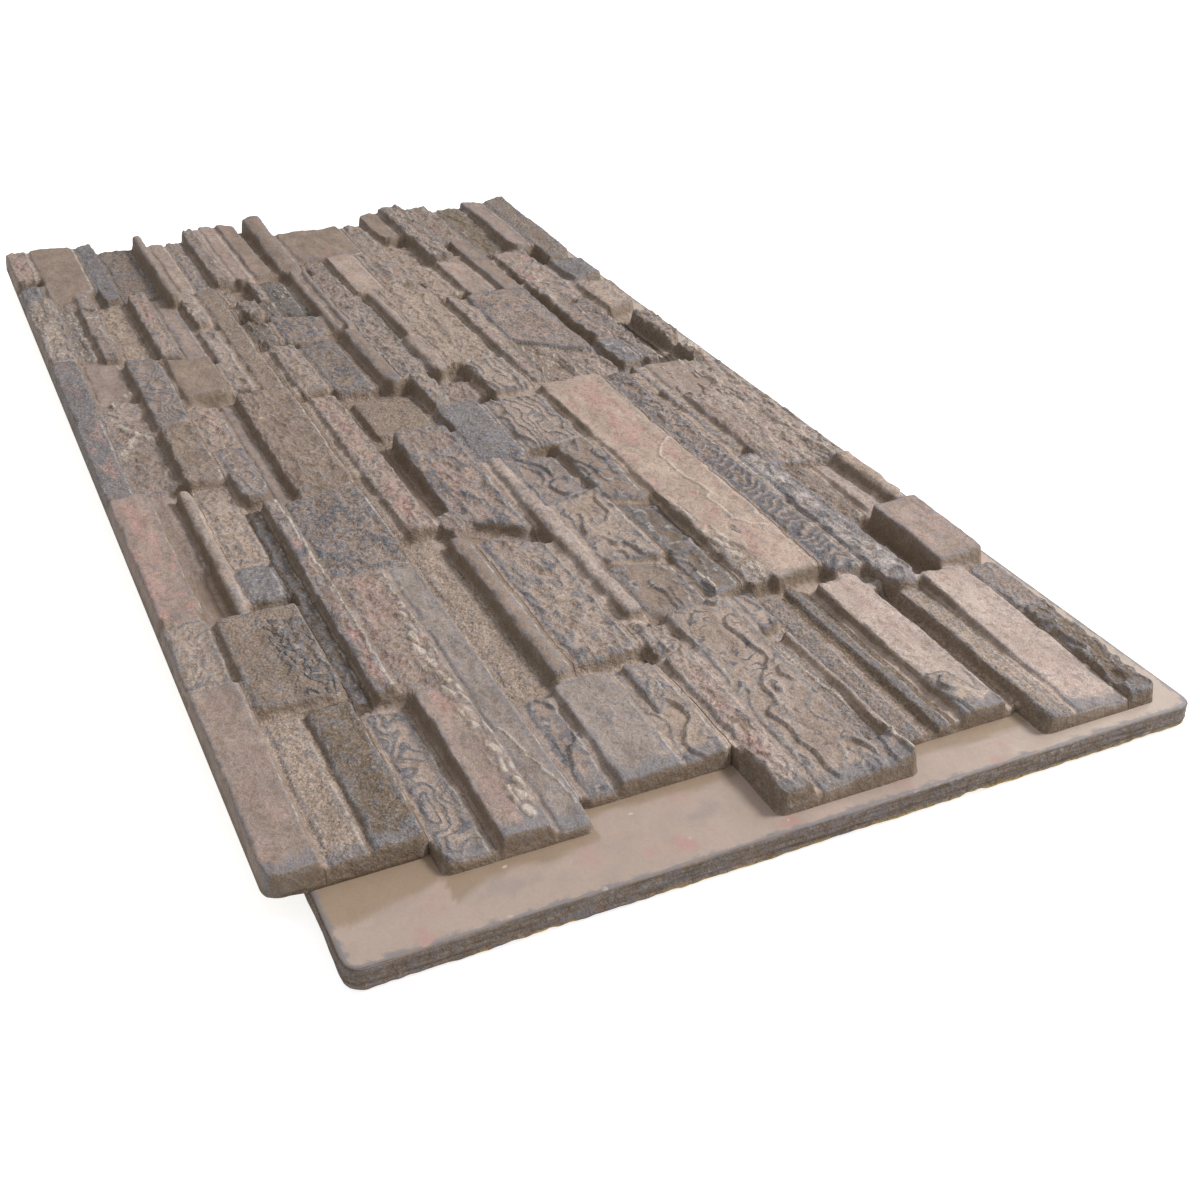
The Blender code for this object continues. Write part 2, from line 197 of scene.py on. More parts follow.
BAND_2 = Band(7.0, 98.0, 194.0, (
    Stone(0, 176, 2, 38, 8, K.COARSE, P.BROWN, 0.5, 0, 5, 0),
    Stone(6, 222, 41, 54, 23, K.RAIL, P.TAUPE, 0.3, 0, -6, 0, True),
    Stone(4, 188, 58, 76, 11, K.SLAB, P.BEIGE, 0.2, 0, 6, -8),
    Stone(0, 180, 78, 95, 8, K.LUMPY, P.TAUPE, 0.5, 0, 5, 6),
    Stone(182, 368, 3, 25, 15, K.LUMPY, P.BEIGE, 0.4, 0.4, -5, 0),
    Stone(186, 378, 27, 49, 7, K.SLAB, P.TAUPE, 0.5),
    Stone(192, 293, 52, 70, 14, K.CHIPS, P.BEIGE, 0.3, 0, 6, -9, True),
    Stone(297, 467, 51, 70, 10, K.CHIPS, P.BEIGE, 0.4, 0, 7, 5),
    Stone(188, 476, 73, 96, 11, K.GRANULAR, P.BROWN, 0.15, 0, -6, 0),
    Stone(381, 481, 2, 46, 18, K.SLAB, P.BROWN, 0.15, 0, 8, -8),
    Stone(481, 693, 45, 96, 13, K.LUMPY, P.BROWN, 0.2, 0.1, -4, 4),
    Stone(483, 700, 30, 43, 5, K.SLAB, P.TAUPE, 0.3),
    Stone(484, 580, 3, 28, 9, K.LUMPY, P.SAND, 0.35, 0.4, 7, -5),
    Stone(583, 694, 3, 28, 14, K.CHIPS, P.TAUPE, 0.7, 0.2, 5, 0, True),
    Stone(698, 837, 33, 96, 11, K.COARSE, P.TAUPE, 0.9, 0, 0, 3),
    Stone(702, 1000, 13, 31, 17, K.LUMPY, P.TAUPE, 0.7, 0.6, 4, 0),
    Stone(702, 998, 1, 12, 8, K.ROPE, P.UMBER, 0.35),
    Stone(840, 998, 33, 71, 12, K.LUMPY, P.TAUPE, 0.25, 0.3),
    Stone(839, 1162, 73, 96, 11, K.SLAB, P.ASH, 0.45, near_fall=8.0),
    Stone(1001, 1162, 36, 71, 14, K.SLAB, P.TAUPE, 0.3, 0.25, near_fall=3.0),
    Stone(1003, 1162, 3, 31, 4, K.SWIRL, P.BEIGE, 0.8, 0, 5, 0),
))

BAND_3 = Band(-14.0, 194.0, 298.0, (
    Stone(14, 200, 3, 20, 16, K.LUMPY, P.TAUPE, 0.5, 0, -14, 0),
    Stone(0, 203, 25, 43, 15, K.SLAB, P.BEIGE, 0.3, 0.4, 4, 4),
    Stone(4, 206, 45, 68, 16, K.SLAB, P.BROWN, 0.3, 0.3, 8, -10),
    Stone(4, 197, 77, 102, 21, K.RAIL, P.BROWN, 0.5, 0, -4, 0, True, 8.0),
    Stone(204, 262, 34, 46, 12, K.CRAG, P.TAUPE, 0.5, 0, 10, -6),
    Stone(258, 312, 8, 30, 14, K.CRAG, P.TAUPE, 0.5, 0, 6, -8, True),
    Stone(212, 308, 50, 72, 9, K.CRAG, P.IRON, 0.4, 0, -7, 4),
    Stone(262, 312, 33, 47, 9, K.CRAG, P.BARK, 0.7),
    Stone(208, 254, 4, 14, 7, K.CRAG, P.BEIGE, 0.3),
    Stone(316, 390, 28, 75, 11, K.COARSE, P.TAUPE, 0.8, 0, 12, -9),
    Stone(318, 388, 4, 24, 12, K.CRAG, P.BARK, 0.4, 0, 9, 0, True),
    Stone(208, 380, 80, 90, 14, K.RAIL, P.BROWN, 0.3, 0, -7, 0),
    Stone(206, 384, 92, 103, 16, K.RAIL, P.TAUPE, 0.4),
    Stone(395, 528, 7, 35, 13, K.LUMPY, P.BEIGE, 0.4, 0, 6, -6),
    Stone(393, 528, 39, 77, 8, K.COARSE, P.BROWN, 0.75, 0, -5, 5),
    Stone(388, 540, 84, 103, 16, K.RAIL, P.BROWN, 0.6, 0, 6, 0, True),
    Stone(544, 632, 46, 101, 5, K.GRANULAR, P.BROWN, 0.1, 0, 9, 0),
    Stone(537, 820, 7, 34, 15, K.LUMPY, P.BEIGE, 0.3, 0.45, 7, 0),
    Stone(799, 836, 35, 56, 14, K.LUMPY, P.TAUPE, 0.4, 0, -6, 5, True),
    Stone(646, 806, 51, 102, 17, K.LUMPY, P.TAUPE, 0.9, 0.4, 6, 44, near_fall=8.0),
    Stone(824, 1040, 3, 30, 3, K.GRANULAR, P.SAND, 0.15),
    Stone(837, 1044, 32, 49, 14, K.RAIL, P.BROWN, 0.4, 0, 5, 0),
    Stone(845, 1040, 53, 101, 11, K.LUMPY, P.BEIGE, 0.95, 0.1, 24, -4),
    Stone(1047, 1162, 27, 70, 9, K.SLAB, P.ASH, 0.42),
    Stone(1047, 1162, 71, 102, 8, K.SQUIGGLE, P.SAND, 0.5),
    Stone(1048, 1116, 78, 95, 12, K.DIAGONAL, P.BEIGE, 0.8, 0, 6, -22, near_fall=4.0),
    Stone(1053, 1162, 4, 24, 4, K.SQUIGGLE, P.TAUPE, 0.9),
))

BAND_4 = Band(42.0, 298.0, 400.0, (
    Stone(3, 109, 0, 77, 13, K.SLAB, P.BROWN, 0.3, 0, -3, 4),
    Stone(4, 110, 79, 101, 11, K.LUMPY, P.BEIGE, 0.4, 0, 6, 5),
    Stone(114, 226, 65, 101, 12, K.LUMPY, P.BEIGE, 0.5, 0.3, 5, -6),
    Stone(112, 238, 28, 61, 14, K.SLAB, P.BEIGE, 0.2, 0.3, -5, 5),
    Stone(112, 234, 3, 26, 9, K.CRAG, P.TAUPE, 0.3),
    Stone(229, 462, 51, 101, 12, K.LUMPY, P.SAND, 0.2, 0, 6, -6),
    Stone(242, 371, 35, 48, 16, K.RAIL, P.BEIGE, 0.3, 0, -7, 0, True),
    Stone(374, 478, 30, 48, 16, K.RAIL, P.BEIGE, 0.3, 0, 6, 0, True),
    Stone(238, 466, 3, 32, 9, K.CRAG, P.BEIGE, 0.5),
    Stone(465, 544, 61, 101, 14, K.WAVY, P.BEIGE, 0.6, 0, -5, 8),
    Stone(480, 538, 26, 54, 6, K.LUMPY, P.TAUPE, 0.3, 0, 8, 0),
    Stone(470, 548, 3, 23, 16, K.CHIPS, P.BEIGE, 0.5, 0, 5, -4),
    Stone(545, 662, 4, 46, 11, K.GRANULAR, P.SMOKE, 0.7, 0, -7, 6),
    Stone(549, 663, 48, 101, 11, K.WAVY, P.BEIGE, 0.8, 0, 9, -4),
    Stone(668, 760, 22, 64, 8, K.SQUIGGLE, P.TAUPE, 0.9, 0, 8, -12),
    Stone(668, 780, 67, 101, 14, K.SQUIGGLE, P.BROWN, 0.8, 0, -10, 10),
    Stone(762, 862, 24, 70, 12, K.SQUIGGLE, P.BEIGE, 0.6, 0, -14, 14),
    Stone(784, 944, 73, 101, 10, K.SQUIGGLE, P.BARK, 0.9, 0, 12, -8),
    Stone(867, 944, 22, 70, 9, K.SQUIGGLE, P.BROWN, 0.7, 0, 14, 5),
    Stone(667, 946, 3, 19, 16, K.RAIL, P.BLUSH, 0.3, 0, 4, 0),
    Stone(947, 1162, 29, 80, 13, K.SQUIGGLE, P.BEIGE, 0.55, near_fall=8.0, right_fall=-4.0),
    Stone(947, 1001, 82, 101, 12, K.SQUIGGLE, P.BEIGE, 0.7, 0, 0, -6),
    Stone(1006, 1162, 82, 92, 8, K.GRANULAR, P.TAUPE, 0.4),
    Stone(1004, 1162, 93, 101, 13, K.RAIL, P.SAND, 0.2),
    Stone(1136, 1162, 66, 101, 10.0, K.SQUIGGLE, P.TAUPE, 0.8, 0.0, -8, 0),
    Stone(998, 1162, 3, 25, 12.5, K.LUMPY, P.BLUSH, 0.35, 0.35, -5, 0),
    Stone(949, 993, 3, 26, 10, K.CRAG, P.BEIGE, 0.4, 0, 6, -8, True),
))

BAND_5 = Band(16.0, 400.0, 495.0, (
    Stone(14, 113, 3, 27, 17, K.SLAB, P.BROWN, 0.2, 0, -12, 0, True),
    Stone(116, 311, 3, 28, 8, K.LUMPY, P.SAND, 0.2, 0, 8, -4),
    Stone(0, 205, 31, 60, 21, K.FLAKY, P.TAUPE, 0.6, 0.3, 12, 6),
    Stone(9, 150, 62, 95, 16, K.LUMPY, P.TAUPE, 0.3, 0, -8, -5, near_fall=3.0),
    Stone(153, 325, 68, 94, 17, K.SLAB, P.BROWN, 0.6, 0.15, -4, 0),
    Stone(207, 317, 33, 65, 14, K.SLAB, P.BEIGE, 0.3, 0.4, 6, 0),
    Stone(328, 460, 22, 92, 19, K.GRANULAR, P.TAUPE, 0.9, 0.25, -3, 62, near_fall=5.0),
    Stone(322, 568, 2, 18, 17, K.LUMPY, P.BEIGE, 0.4, 0.4, 5, 0),
    Stone(458, 570, 22, 56, 10, K.FLAKY, P.BROWN, 0.4, 0.2, 30, 6),
    Stone(500, 572, 58, 92, 12, K.FLAKY, P.TAUPE, 0.4, 0.25, 28, -4),
    Stone(574, 880, 2, 64, 18, K.SLAB, P.SAND, 0.16, 0.45, -5, 0, near_fall=2.0),
    Stone(862, 892, 2, 30, 16.6, K.SLAB, P.SAND, 0.16, 0.4, 0, 46),
    Stone(866, 972, 22, 64, 16, K.SLAB, P.SAND, 0.16, 0.45, 0, -6, near_fall=2.0),
    Stone(866, 970, 2, 40, 14.5, K.LUMPY, P.BEIGE, 0.35, 0.35, 0, -6, near_fall=2.0),
    Stone(572, 776, 67, 93, 14, K.CRAG, P.TAUPE, 0.85, 0.1, 5, 0),
    Stone(770, 974, 67, 93, 14, K.ROPE, P.TAUPE, 0.85, 0, 0, 10, near_fall=2.0),
    Stone(979, 1162, 50, 86, 10, K.SLAB, P.BLUSH, 0.12, near_fall=3.0),
    Stone(1108, 1162, 51, 85, 8.2, K.SQUIGGLE, P.SAND, 0.7, 0.0, 8, 0, near_fall=1.2),
    Stone(970, 1162, 30, 41, 4, K.GRANULAR, P.BARK, 0.6),
    Stone(977, 1162, 4, 20, 3, K.GRANULAR, P.TAUPE, 0.5),
))

BAND_6 = Band(43.0, 495.0, 588.0, (
    Stone(0, 178, 34, 61, 22, K.SLAB, P.TAUPE, 0.8, 0, 6, 0, True, 4.0),
    Stone(6, 221, 62, 93, 21, K.DIAGONAL, P.BROWN, 0.9, 0, -6, -12, near_fall=5.0),
    Stone(0, 164, 2, 33, 16, K.LUMPY, P.KHAKI, 0.3, 0, 6, 0, near_fall=7.0),
    Stone(169, 345, 8, 48, 12, K.CHIPS, P.BEIGE, 0.5, 0.5, 9, -6),
    Stone(348, 448, 8, 30, 13, K.CHIPS, P.TAUPE, 0.5, 0.2, 6, 8),
    Stone(347, 524, 33, 49, 11, K.CRAG, P.TAUPE, 0.5, 0.2, -6, 0),
    Stone(452, 524, 7, 30, 10, K.CHIPS, P.SMOKE, 0.6, 0, 8, -8),
    Stone(225, 305, 54, 93, 18, K.GRANULAR, P.SMOKE, 0.5, 0, 14, -8),
    Stone(308, 400, 52, 93, 16, K.DIAGONAL, P.SAND, 0.4, 0, 6, -22),
    Stone(404, 518, 52, 60, 2, K.RAIL, P.UMBER, 0.0, 0, 0, -8),
    Stone(406, 496, 70, 93, 16, K.CRAG, P.BEIGE, 0.4, 0, 12, -16),
    Stone(498, 537, 74, 93, 15, K.CRAG, P.CREAM, 0.1),
    Stone(539, 783, 17, 90, 14, K.FLAKY, P.BEIGE, 0.5, 0.35, 10, 16),
    Stone(539, 622, 17, 60, 14.6, K.SLAB, P.TAUPE, 0.3, 0.0, 8, 34),
    Stone(618, 778, 16, 46, 17.0, K.LUMPY, P.TAUPE, 0.3, 0, 24, 10),
    Stone(540, 745, 4, 14, 14, K.ROPE, P.SAND, 0.4),
    Stone(788, 880, 71, 88, 21, K.RAIL, P.SAND, 0.2, 0, 4, 0, True),
    Stone(786, 878, 53, 68, 11, K.SLAB, P.BLUSH, 0.1, 0, 8, 0),
    Stone(884, 980, 46, 93, 20, K.SLAB, P.TAUPE, 0.5, 0.2, -5, -4),
    Stone(786, 880, 28, 50, 7, K.LUMPY, P.BROWN, 0.4),
    Stone(750, 990, 0, 26, 16, K.LUMPY, P.PALE, 0.9, 0.1, 8, 0, True),
    Stone(979, 1162, 25, 67, 16, K.SLAB, P.BLUSH, 0.25, 0.25, near_fall=8.0, right_fall=4.0),
    Stone(984, 1050, 66, 92, 12, K.DIAGONAL, P.TAUPE, 0.8, 0, 0, 8),
    Stone(1046, 1162, 69, 93, 12, K.CRAG, P.BARK, 0.45, 0, -4, 0, near_fall=4.0),
    Stone(988, 1162, 3, 22, 10, K.GRANULAR, P.SAND, 0.45, right_fall=3.0),
))

BANDS = (BAND_1, BAND_2, BAND_3, BAND_4, BAND_5, BAND_6)


class Vein(NamedTuple):
    """A raised vein or leaf edge, by its course on the board in mm."""

    course: tuple[tuple[float, float], ...]
    width: float
    rise: float
    broken: bool = False
    # The share of pale crest paint on the vein, partly a painted highlight
    paint: float = 1.0


VEINS = (
    Vein(((850, 170), (890, 167), (926, 163), (960, 159), (990, 157), (1026, 160), (1064, 162),
          (1110, 161), (1152, 158)), 12.0, 2.8, True),
    Vein(((745, 459), (757, 446), (770, 438), (800, 437), (828, 440), (850, 443), (856, 436),
          (868, 438), (893, 439), (905, 448), (914, 458)), 1.8, 1.2),
    Vein(((842, 401), (870, 405), (900, 410), (935, 414), (975, 416)), 13.0, 2.0, True, 0.8),
    Vein(((948, 380), (985, 377), (1040, 380), (1100, 384), (1160, 392), (1200, 396)), 2.2, 1.6),
    Vein(((1060, 176), (1095, 181), (1120, 187), (1150, 191)), 1.6, 0.8, False, 0.6),
    Vein(((455, 541), (500, 548), (548, 552), (600, 548)), 2.5, 1.4, False, 0.8),
    Vein(((486, 32), (505, 40), (523, 48), (545, 38), (565, 29)), 7.0, 2.0, False, 0.5),
    Vein(((523, 48), (532, 54), (542, 61)), 6.0, 2.0, False, 0.5),
    Vein(((428, 60), (444, 50), (456, 42)), 8.0, 3.0, True, 0.7),
    Vein(((706, 123), (780, 124), (860, 127), (930, 126), (1004, 125)), 2.0, 0.9, False, 0.9),
)


class Stain(NamedTuple):
    """A soft patch of paint on the board: its middle, half length and half width in mm."""

    x: float
    y: float
    long: float
    wide: float
    paint: Paint
    share: float


def stains(paint: Paint, *spots: tuple[float, float, float, float, float]) -> tuple[Stain, ...]:
    """Stains of one paint, each by its middle, half length, half width and share."""
    return tuple(Stain(x, y, long, wide, paint, share) for x, y, long, wide, share in spots)


STAINS = (
    *stains(
        P.ROSE,
        (650, 436, 42, 11, 0.95), (715, 434, 48, 10, 1.0), (760, 452, 26, 8, 0.5), (930, 440, 40, 14, 0.3),
        (1040, 468, 70, 12, 0.25), (700, 18, 60, 10, 0.6), (800, 14, 50, 9, 0.5), (940, 122, 36, 6, 0.9),
        (985, 120, 22, 6, 1.0), (860, 148, 28, 9, 0.6), (900, 150, 26, 8, 0.5), (1020, 148, 24, 9, 0.7),
        (1100, 312, 40, 8, 0.7), (1150, 310, 26, 7, 0.6), (620, 214, 40, 8, 0.8), (760, 214, 40, 8, 0.7),
        (560, 212, 30, 8, 0.6), (250, 540, 50, 12, 0.6), (310, 512, 40, 9, 0.5), (150, 340, 40, 14, 0.4),
        (95, 225, 60, 8, 0.5), (40, 12, 40, 8, 0.5), (250, 114, 50, 8, 0.5), (530, 112, 40, 9, 0.5),
        (1150, 535, 40, 14, 0.35),
    ),
    *stains(P.OCHRE, (840, 340, 22, 12, 0.5), (800, 360, 24, 14, 0.4)),
    *stains(
        P.UMBER,
        (940, 72, 50, 12, 0.35), (960, 50, 40, 12, 0.25), (1110, 80, 50, 14, 0.3), (720, 160, 60, 24, 0.25),
    ),
    *stains(P.SLATE, (780, 140, 40, 18, 0.35), (640, 470, 60, 7, 0.35)),
)

FLANGE_STAINS = (
    *stains(
        P.ROSE,
        (1209, 303, 9, 7, 0.8), (1201, 236, 8, 9, 0.8), (1199, 216, 7, 7, 0.6), (1208, 73, 12, 6, 0.7),
        (1214, 452, 9, 6, 0.6), (1190, 180, 10, 12, 0.3),
    ),
    *stains(P.CREAM, (1212, 470, 12, 10, 0.3)),
    *stains(P.SMOKE, (1178, 262, 8, 14, 0.3), (1190, 130, 12, 16, 0.3)),
)


def linear(paint: str) -> np.ndarray:
    """Turn an sRGB hex colour, such as #A69287, to its three linear channels."""
    share = np.array([int(paint[at:at + 2], 16) / 255.0 for at in (1, 3, 5)])
    return np.where(share <= 0.04045, share / 12.92, ((share + 0.055) / 1.055) ** 2.4)


def ramp(value: np.ndarray, low: float, high: float) -> np.ndarray:
    """Ease from 0 where the value is at low to 1 where it is at high. Low may lie above high."""
    share = np.clip((value - low) / (high - low), 0.0, 1.0)
    return share * share * (3.0 - 2.0 * share)


def rounded(one: np.ndarray, other: np.ndarray, corner: float | np.ndarray) -> np.ndarray:
    """The lesser of two depths in mm, with the corner between them rounded to a radius."""
    cut = corner - np.hypot((corner - one).clip(min=0.0), (corner - other).clip(min=0.0))
    return np.where((one < corner) & (other < corner), cut, np.minimum(one, other))


def ridges(phase: np.ndarray) -> np.ndarray:
    """Sharp ridges with round valleys between them, one to a unit of phase."""
    return 1.0 - abs(np.sin(math.pi * phase))


def band_near(y: np.ndarray) -> np.ndarray:
    """Board X in mm where the band over each board Y ends."""
    sides = [y <= band.right for band in BANDS[:-1]]
    return np.select(sides, [band.near for band in BANDS[:-1]], BAND_6.near)


class Noise:
    """Seeded gradient noise on a plane, for breaks, grain and brush marks."""

    def __init__(self, seed: int) -> None:
        """Draw the lattice directions of one seed.

        Args:
            seed: What the directions are drawn from.
        """
        source = np.random.RandomState(seed)
        self.order = source.permutation(512)
        turn = source.uniform(0.0, 2.0 * math.pi, 512)
        self.slope_x, self.slope_y = np.cos(turn), np.sin(turn)
        self.level = source.uniform(0.0, 1.0, 512)

    def corner(self, column: np.ndarray, row: np.ndarray) -> np.ndarray:
        """The lattice entry of one corner."""
        return self.order[(column + self.order[row & 511]) & 511]

    def plain(self, x: np.ndarray, y: np.ndarray) -> np.ndarray:
        """One octave.

        Args:
            x: First coordinate, in waves.
            y: Second coordinate, in waves.

        Returns:
            Noise from about -1 to 1.
        """
        column, row = np.floor(x).astype(int), np.floor(y).astype(int)
        in_x, in_y = x - column, y - row
        total = 0.0
        for step_x, step_y in ((0, 0), (1, 0), (0, 1), (1, 1)):
            entry = self.corner(column + step_x, row + step_y)
            lean = self.slope_x[entry] * (in_x - step_x) + self.slope_y[entry] * (in_y - step_y)
            near_x, near_y = 1.0 - abs(in_x - step_x), 1.0 - abs(in_y - step_y)
            ease_x = near_x ** 3 * (near_x * (near_x * 6.0 - 15.0) + 10.0)
            ease_y = near_y ** 3 * (near_y * (near_y * 6.0 - 15.0) + 10.0)
            total = total + lean * ease_x * ease_y
        return total * 1.5

    def fractal(self, x: np.ndarray, y: np.ndarray, octaves: int = 3) -> np.ndarray:
        """Several octaves, each half as strong and twice as fine.

        Args:
            x: First coordinate, in waves of the coarsest octave.
            y: Second coordinate, in the same waves.
            octaves: How many octaves are summed.

        Returns:
            Noise from about -1 to 1.
        """
        total, weight = 0.0, 0.0
        for octave in range(octaves):
            scale = 2.0 ** octave
            total = total + self.plain(x * scale + 17.3 * octave, y * scale + 5.1) / scale
            weight += 1.0 / scale
        return total / weight * 1.3

    def cells(self, x: np.ndarray, y: np.ndarray) -> tuple[np.ndarray, np.ndarray, np.ndarray]:
        """Broken cells about scattered points.

        Args:
            x: First coordinate, in cells.
            y: Second coordinate, in cells.

        Returns:
            The distance to the nearest point, to the second nearest, and its own level.
        """
        column, row = np.floor(x).astype(int), np.floor(y).astype(int)
        first = np.full(np.broadcast(x, y).shape, 9.0)
        second, own = first.copy(), np.zeros(first.shape)
        for step_x in (-1, 0, 1):
            for step_y in (-1, 0, 1):
                entry = self.corner(column + step_x, row + step_y)
                off_x = column + step_x + 0.5 + 0.42 * self.slope_x[entry] - x
                off_y = row + step_y + 0.5 + 0.42 * self.slope_y[entry] - y
                away = np.hypot(off_x, off_y)
                closer = away < first
                second = np.where(closer, first, np.minimum(second, away))
                own = np.where(closer, self.level[entry], own)
                first = np.where(closer, away, first)
        return first, second, own


class Skin(NamedTuple):
    """What one face adds: height in mm, shares of ink and glow, and its texture. The glow is pale paint on
    crests, partly a painted highlight.

    The texture is four shares: sandy grain, hairline threads, small lumps and hooked lines.
    """

    height: np.ndarray
    ink: np.ndarray
    glow: np.ndarray
    texture: tuple[float, float, float, float]


@dataclass
class StoneFace:
    """The broken face of each kind of stone."""

    noise: Noise = field(default_factory=lambda: Noise(7))
    knap: float = 1.4

    def skin(self, stone: Stone, x: np.ndarray, y: np.ndarray, across: np.ndarray) -> Skin:
        """Work out the face of one stone.

        Args:
            stone: The stone.
            x: Board X in mm.
            y: Board Y in mm.
            across: Place across the stone, from -1 at its left to 1 at its right.

        Returns:
            The face's height and paint shares.
        """
        broad = 1.5 * self.noise.fractal(x / 55.0, y / 24.0, 2)
        made: Skin = getattr(self, stone.kind.value)(x, y, across)
        depth = 1.0 if stone.kind in (Kind.SLAB, Kind.RAIL) else self.knap
        return made._replace(height=depth * made.height + broad)

    def slab(self, x: np.ndarray, y: np.ndarray, across: np.ndarray) -> Skin:
        """A smooth split face with faint pits and hairline cracks.

        Args:
            x: Board X in mm.
            y: Board Y in mm.
            across: Place across the stone, from -1 to 1; not used by this face.

        Returns:
            The face.
        """
        wave = self.noise.fractal(x / 16.0, y / 11.0, 3)
        crack = abs(self.noise.fractal(x / 34.0 + 40.0, y / 22.0, 3))
        hair = ramp(crack, 0.05, 0.0) * ramp(self.noise.plain(x / 30.0, y / 30.0), 0.0, 0.4)
        dent = ramp(self.noise.plain(x / 9.0 + 70.0, y / 7.5), 0.25, 0.7)
        rise = 0.5 * wave - 0.3 * hair - 0.35 * dent
        return Skin(rise, 0.5 * hair, np.zeros_like(wave), (0.22, 0.45, 0.4, 0.05))

    def granular(self, x: np.ndarray, y: np.ndarray, across: np.ndarray) -> Skin:
        """A sandstone face of even grains."""
        wave = self.noise.fractal(x / 9.0, y / 8.0, 3)
        return Skin(0.55 * wave, ramp(wave, 0.15, 0.7), 0.2 * ramp(wave, 0.5, 0.9), (0.8, 0.15, 0.5, 0.05))

    def coarse(self, x: np.ndarray, y: np.ndarray, across: np.ndarray) -> Skin:
        """A weathered face of coarse grains and small hollows.

        Args:
            x: Board X in mm.
            y: Board Y in mm.
            across: Place across the stone, from -1 to 1; not used by this face.

        Returns:
            The face.
        """
        wave = self.noise.fractal(x / 7.0, y / 6.0, 3)
        patch = self.noise.plain(x / 34.0 + 9.0, y / 24.0)
        rise = 0.8 * wave + 0.8 * patch
        ink = ramp(wave + patch * 0.5, 0.0, 0.5)
        return Skin(rise, ink, 0.2 * ramp(wave, 0.5, 0.9), (0.8, 0.4, 0.8, 0.1))

    def flaky(self, x: np.ndarray, y: np.ndarray, across: np.ndarray) -> Skin:
        """Thin leaves that break off in steps along the grain.

        Args:
            x: Board X in mm.
            y: Board Y in mm.
            across: Place across the stone, from -1 to 1.

        Returns:
            The face.
        """
        level = 2.6 * self.noise.fractal(x / 44.0, y / 13.0, 3) + 0.5 * across
        leaf = np.floor(level)
        into = level - leaf
        step = leaf + ramp(into, 0.0, 0.22)
        rim = ramp(into, 0.0, 0.16) * ramp(into, 0.42, 0.2)
        return Skin(1.25 * step, ramp(into, 0.2, 0.0) + 0.5 * rim, 0.6 * rim, (0.6, 0.45, 0.65, 0.12))

    def chips(self, x: np.ndarray, y: np.ndarray, across: np.ndarray) -> Skin:
        """Shell-shaped chips with sharp arrises between them.

        Args:
            x: Board X in mm.
            y: Board Y in mm.
            across: Place across the stone, from -1 to 1; not used by this face.

        Returns:
            The face.
        """
        bend = 4.0 * self.noise.plain(x / 18.0, y / 18.0)
        first, second, own = self.noise.cells((x + bend) / 15.0, (y - bend) / 10.0)
        arris = ramp(second - first, 0.22, 0.0)
        rise = 1.9 * first * first + 1.6 * (own - 0.5)
        return Skin(rise, 0.8 * arris, 0.7 * arris * ramp(own, 0.4, 0.8), (0.5, 0.4, 0.5, 0.1))

    def squiggle(self, x: np.ndarray, y: np.ndarray, across: np.ndarray) -> Skin:
        """A sandy face with curved ledges. The finish draws its worm-like lines.

        Args:
            x: Board X in mm.
            y: Board Y in mm.
            across: Place across the stone, from -1 to 1.

        Returns:
            The face.
        """
        level = 1.7 * self.noise.fractal(x / 50.0 + 3.0, y / 24.0, 2) + 0.3 * across
        leaf = np.floor(level)
        into = level - leaf
        rim = ramp(into, 0.0, 0.07) * ramp(into, 0.3, 0.08)
        dish = self.noise.fractal(x / 15.0, y / 9.0, 2)
        rise = 1.1 * (leaf + ramp(into, 0.0, 0.12)) + 0.5 * rim - 0.5 * into + 0.45 * dish
        return Skin(rise, 0.4 * ramp(into, 0.1, 0.0) + 0.7 * rim, 0.3 * rim, (0.45, 0.3, 0.4, 0.9))

    def wavy(self, x: np.ndarray, y: np.ndarray, across: np.ndarray) -> Skin:
        """Wood-like ridges that run along the stone.

        Args:
            x: Board X in mm.
            y: Board Y in mm.
            across: Place across the stone, from -1 to 1; not used by this face.

        Returns:
            The face.
        """
        crest = ridges(y / 8.5 + 1.5 * self.noise.fractal(x / 46.0, y / 26.0, 2))
        glow = 0.6 * ramp(crest, 0.78, 0.95)
        return Skin(1.9 * crest ** 1.5, ramp(crest, 0.5, 0.85), glow, (0.5, 0.4, 0.5, 0.1))

    def diagonal(self, x: np.ndarray, y: np.ndarray, across: np.ndarray) -> Skin:
        """Slanting split lines.

        Args:
            x: Board X in mm.
            y: Board Y in mm.
            across: Place across the stone, from -1 to 1; not used by this face.

        Returns:
            The face.
        """
        crest = ridges((x * 0.62 + y) / 6.2 + 1.3 * self.noise.fractal(x / 30.0, y / 30.0, 2))
        patch = ramp(self.noise.plain(x / 26.0, y / 20.0), -0.25, 0.35)
        ink = ramp(crest, 0.45, 0.9) * patch
        return Skin(0.75 * crest * patch, ink, 0.25 * patch * crest, (0.65, 0.45, 0.6, 0.1))

    def rope(self, x: np.ndarray, y: np.ndarray, across: np.ndarray) -> Skin:
        """A strip of short ridges that cross it, strongest on its left.

        Args:
            x: Board X in mm.
            y: Board Y in mm.
            across: Place across the stone, from -1 to 1.

        Returns:
            The face.
        """
        wave = self.noise.fractal(x / 26.0, y / 13.0, 2)
        tooth = ridges((x + 0.5 * y) / 10.5 + 0.9 * wave)
        rise = 1.2 * wave + 1.6 * tooth ** 0.7 * (1.0 - 0.6 * across)
        return Skin(rise, ramp(tooth, 0.5, 0.1), 0.3 * ramp(tooth, 0.8, 1.0), (0.5, 0.4, 0.8, 0.3))

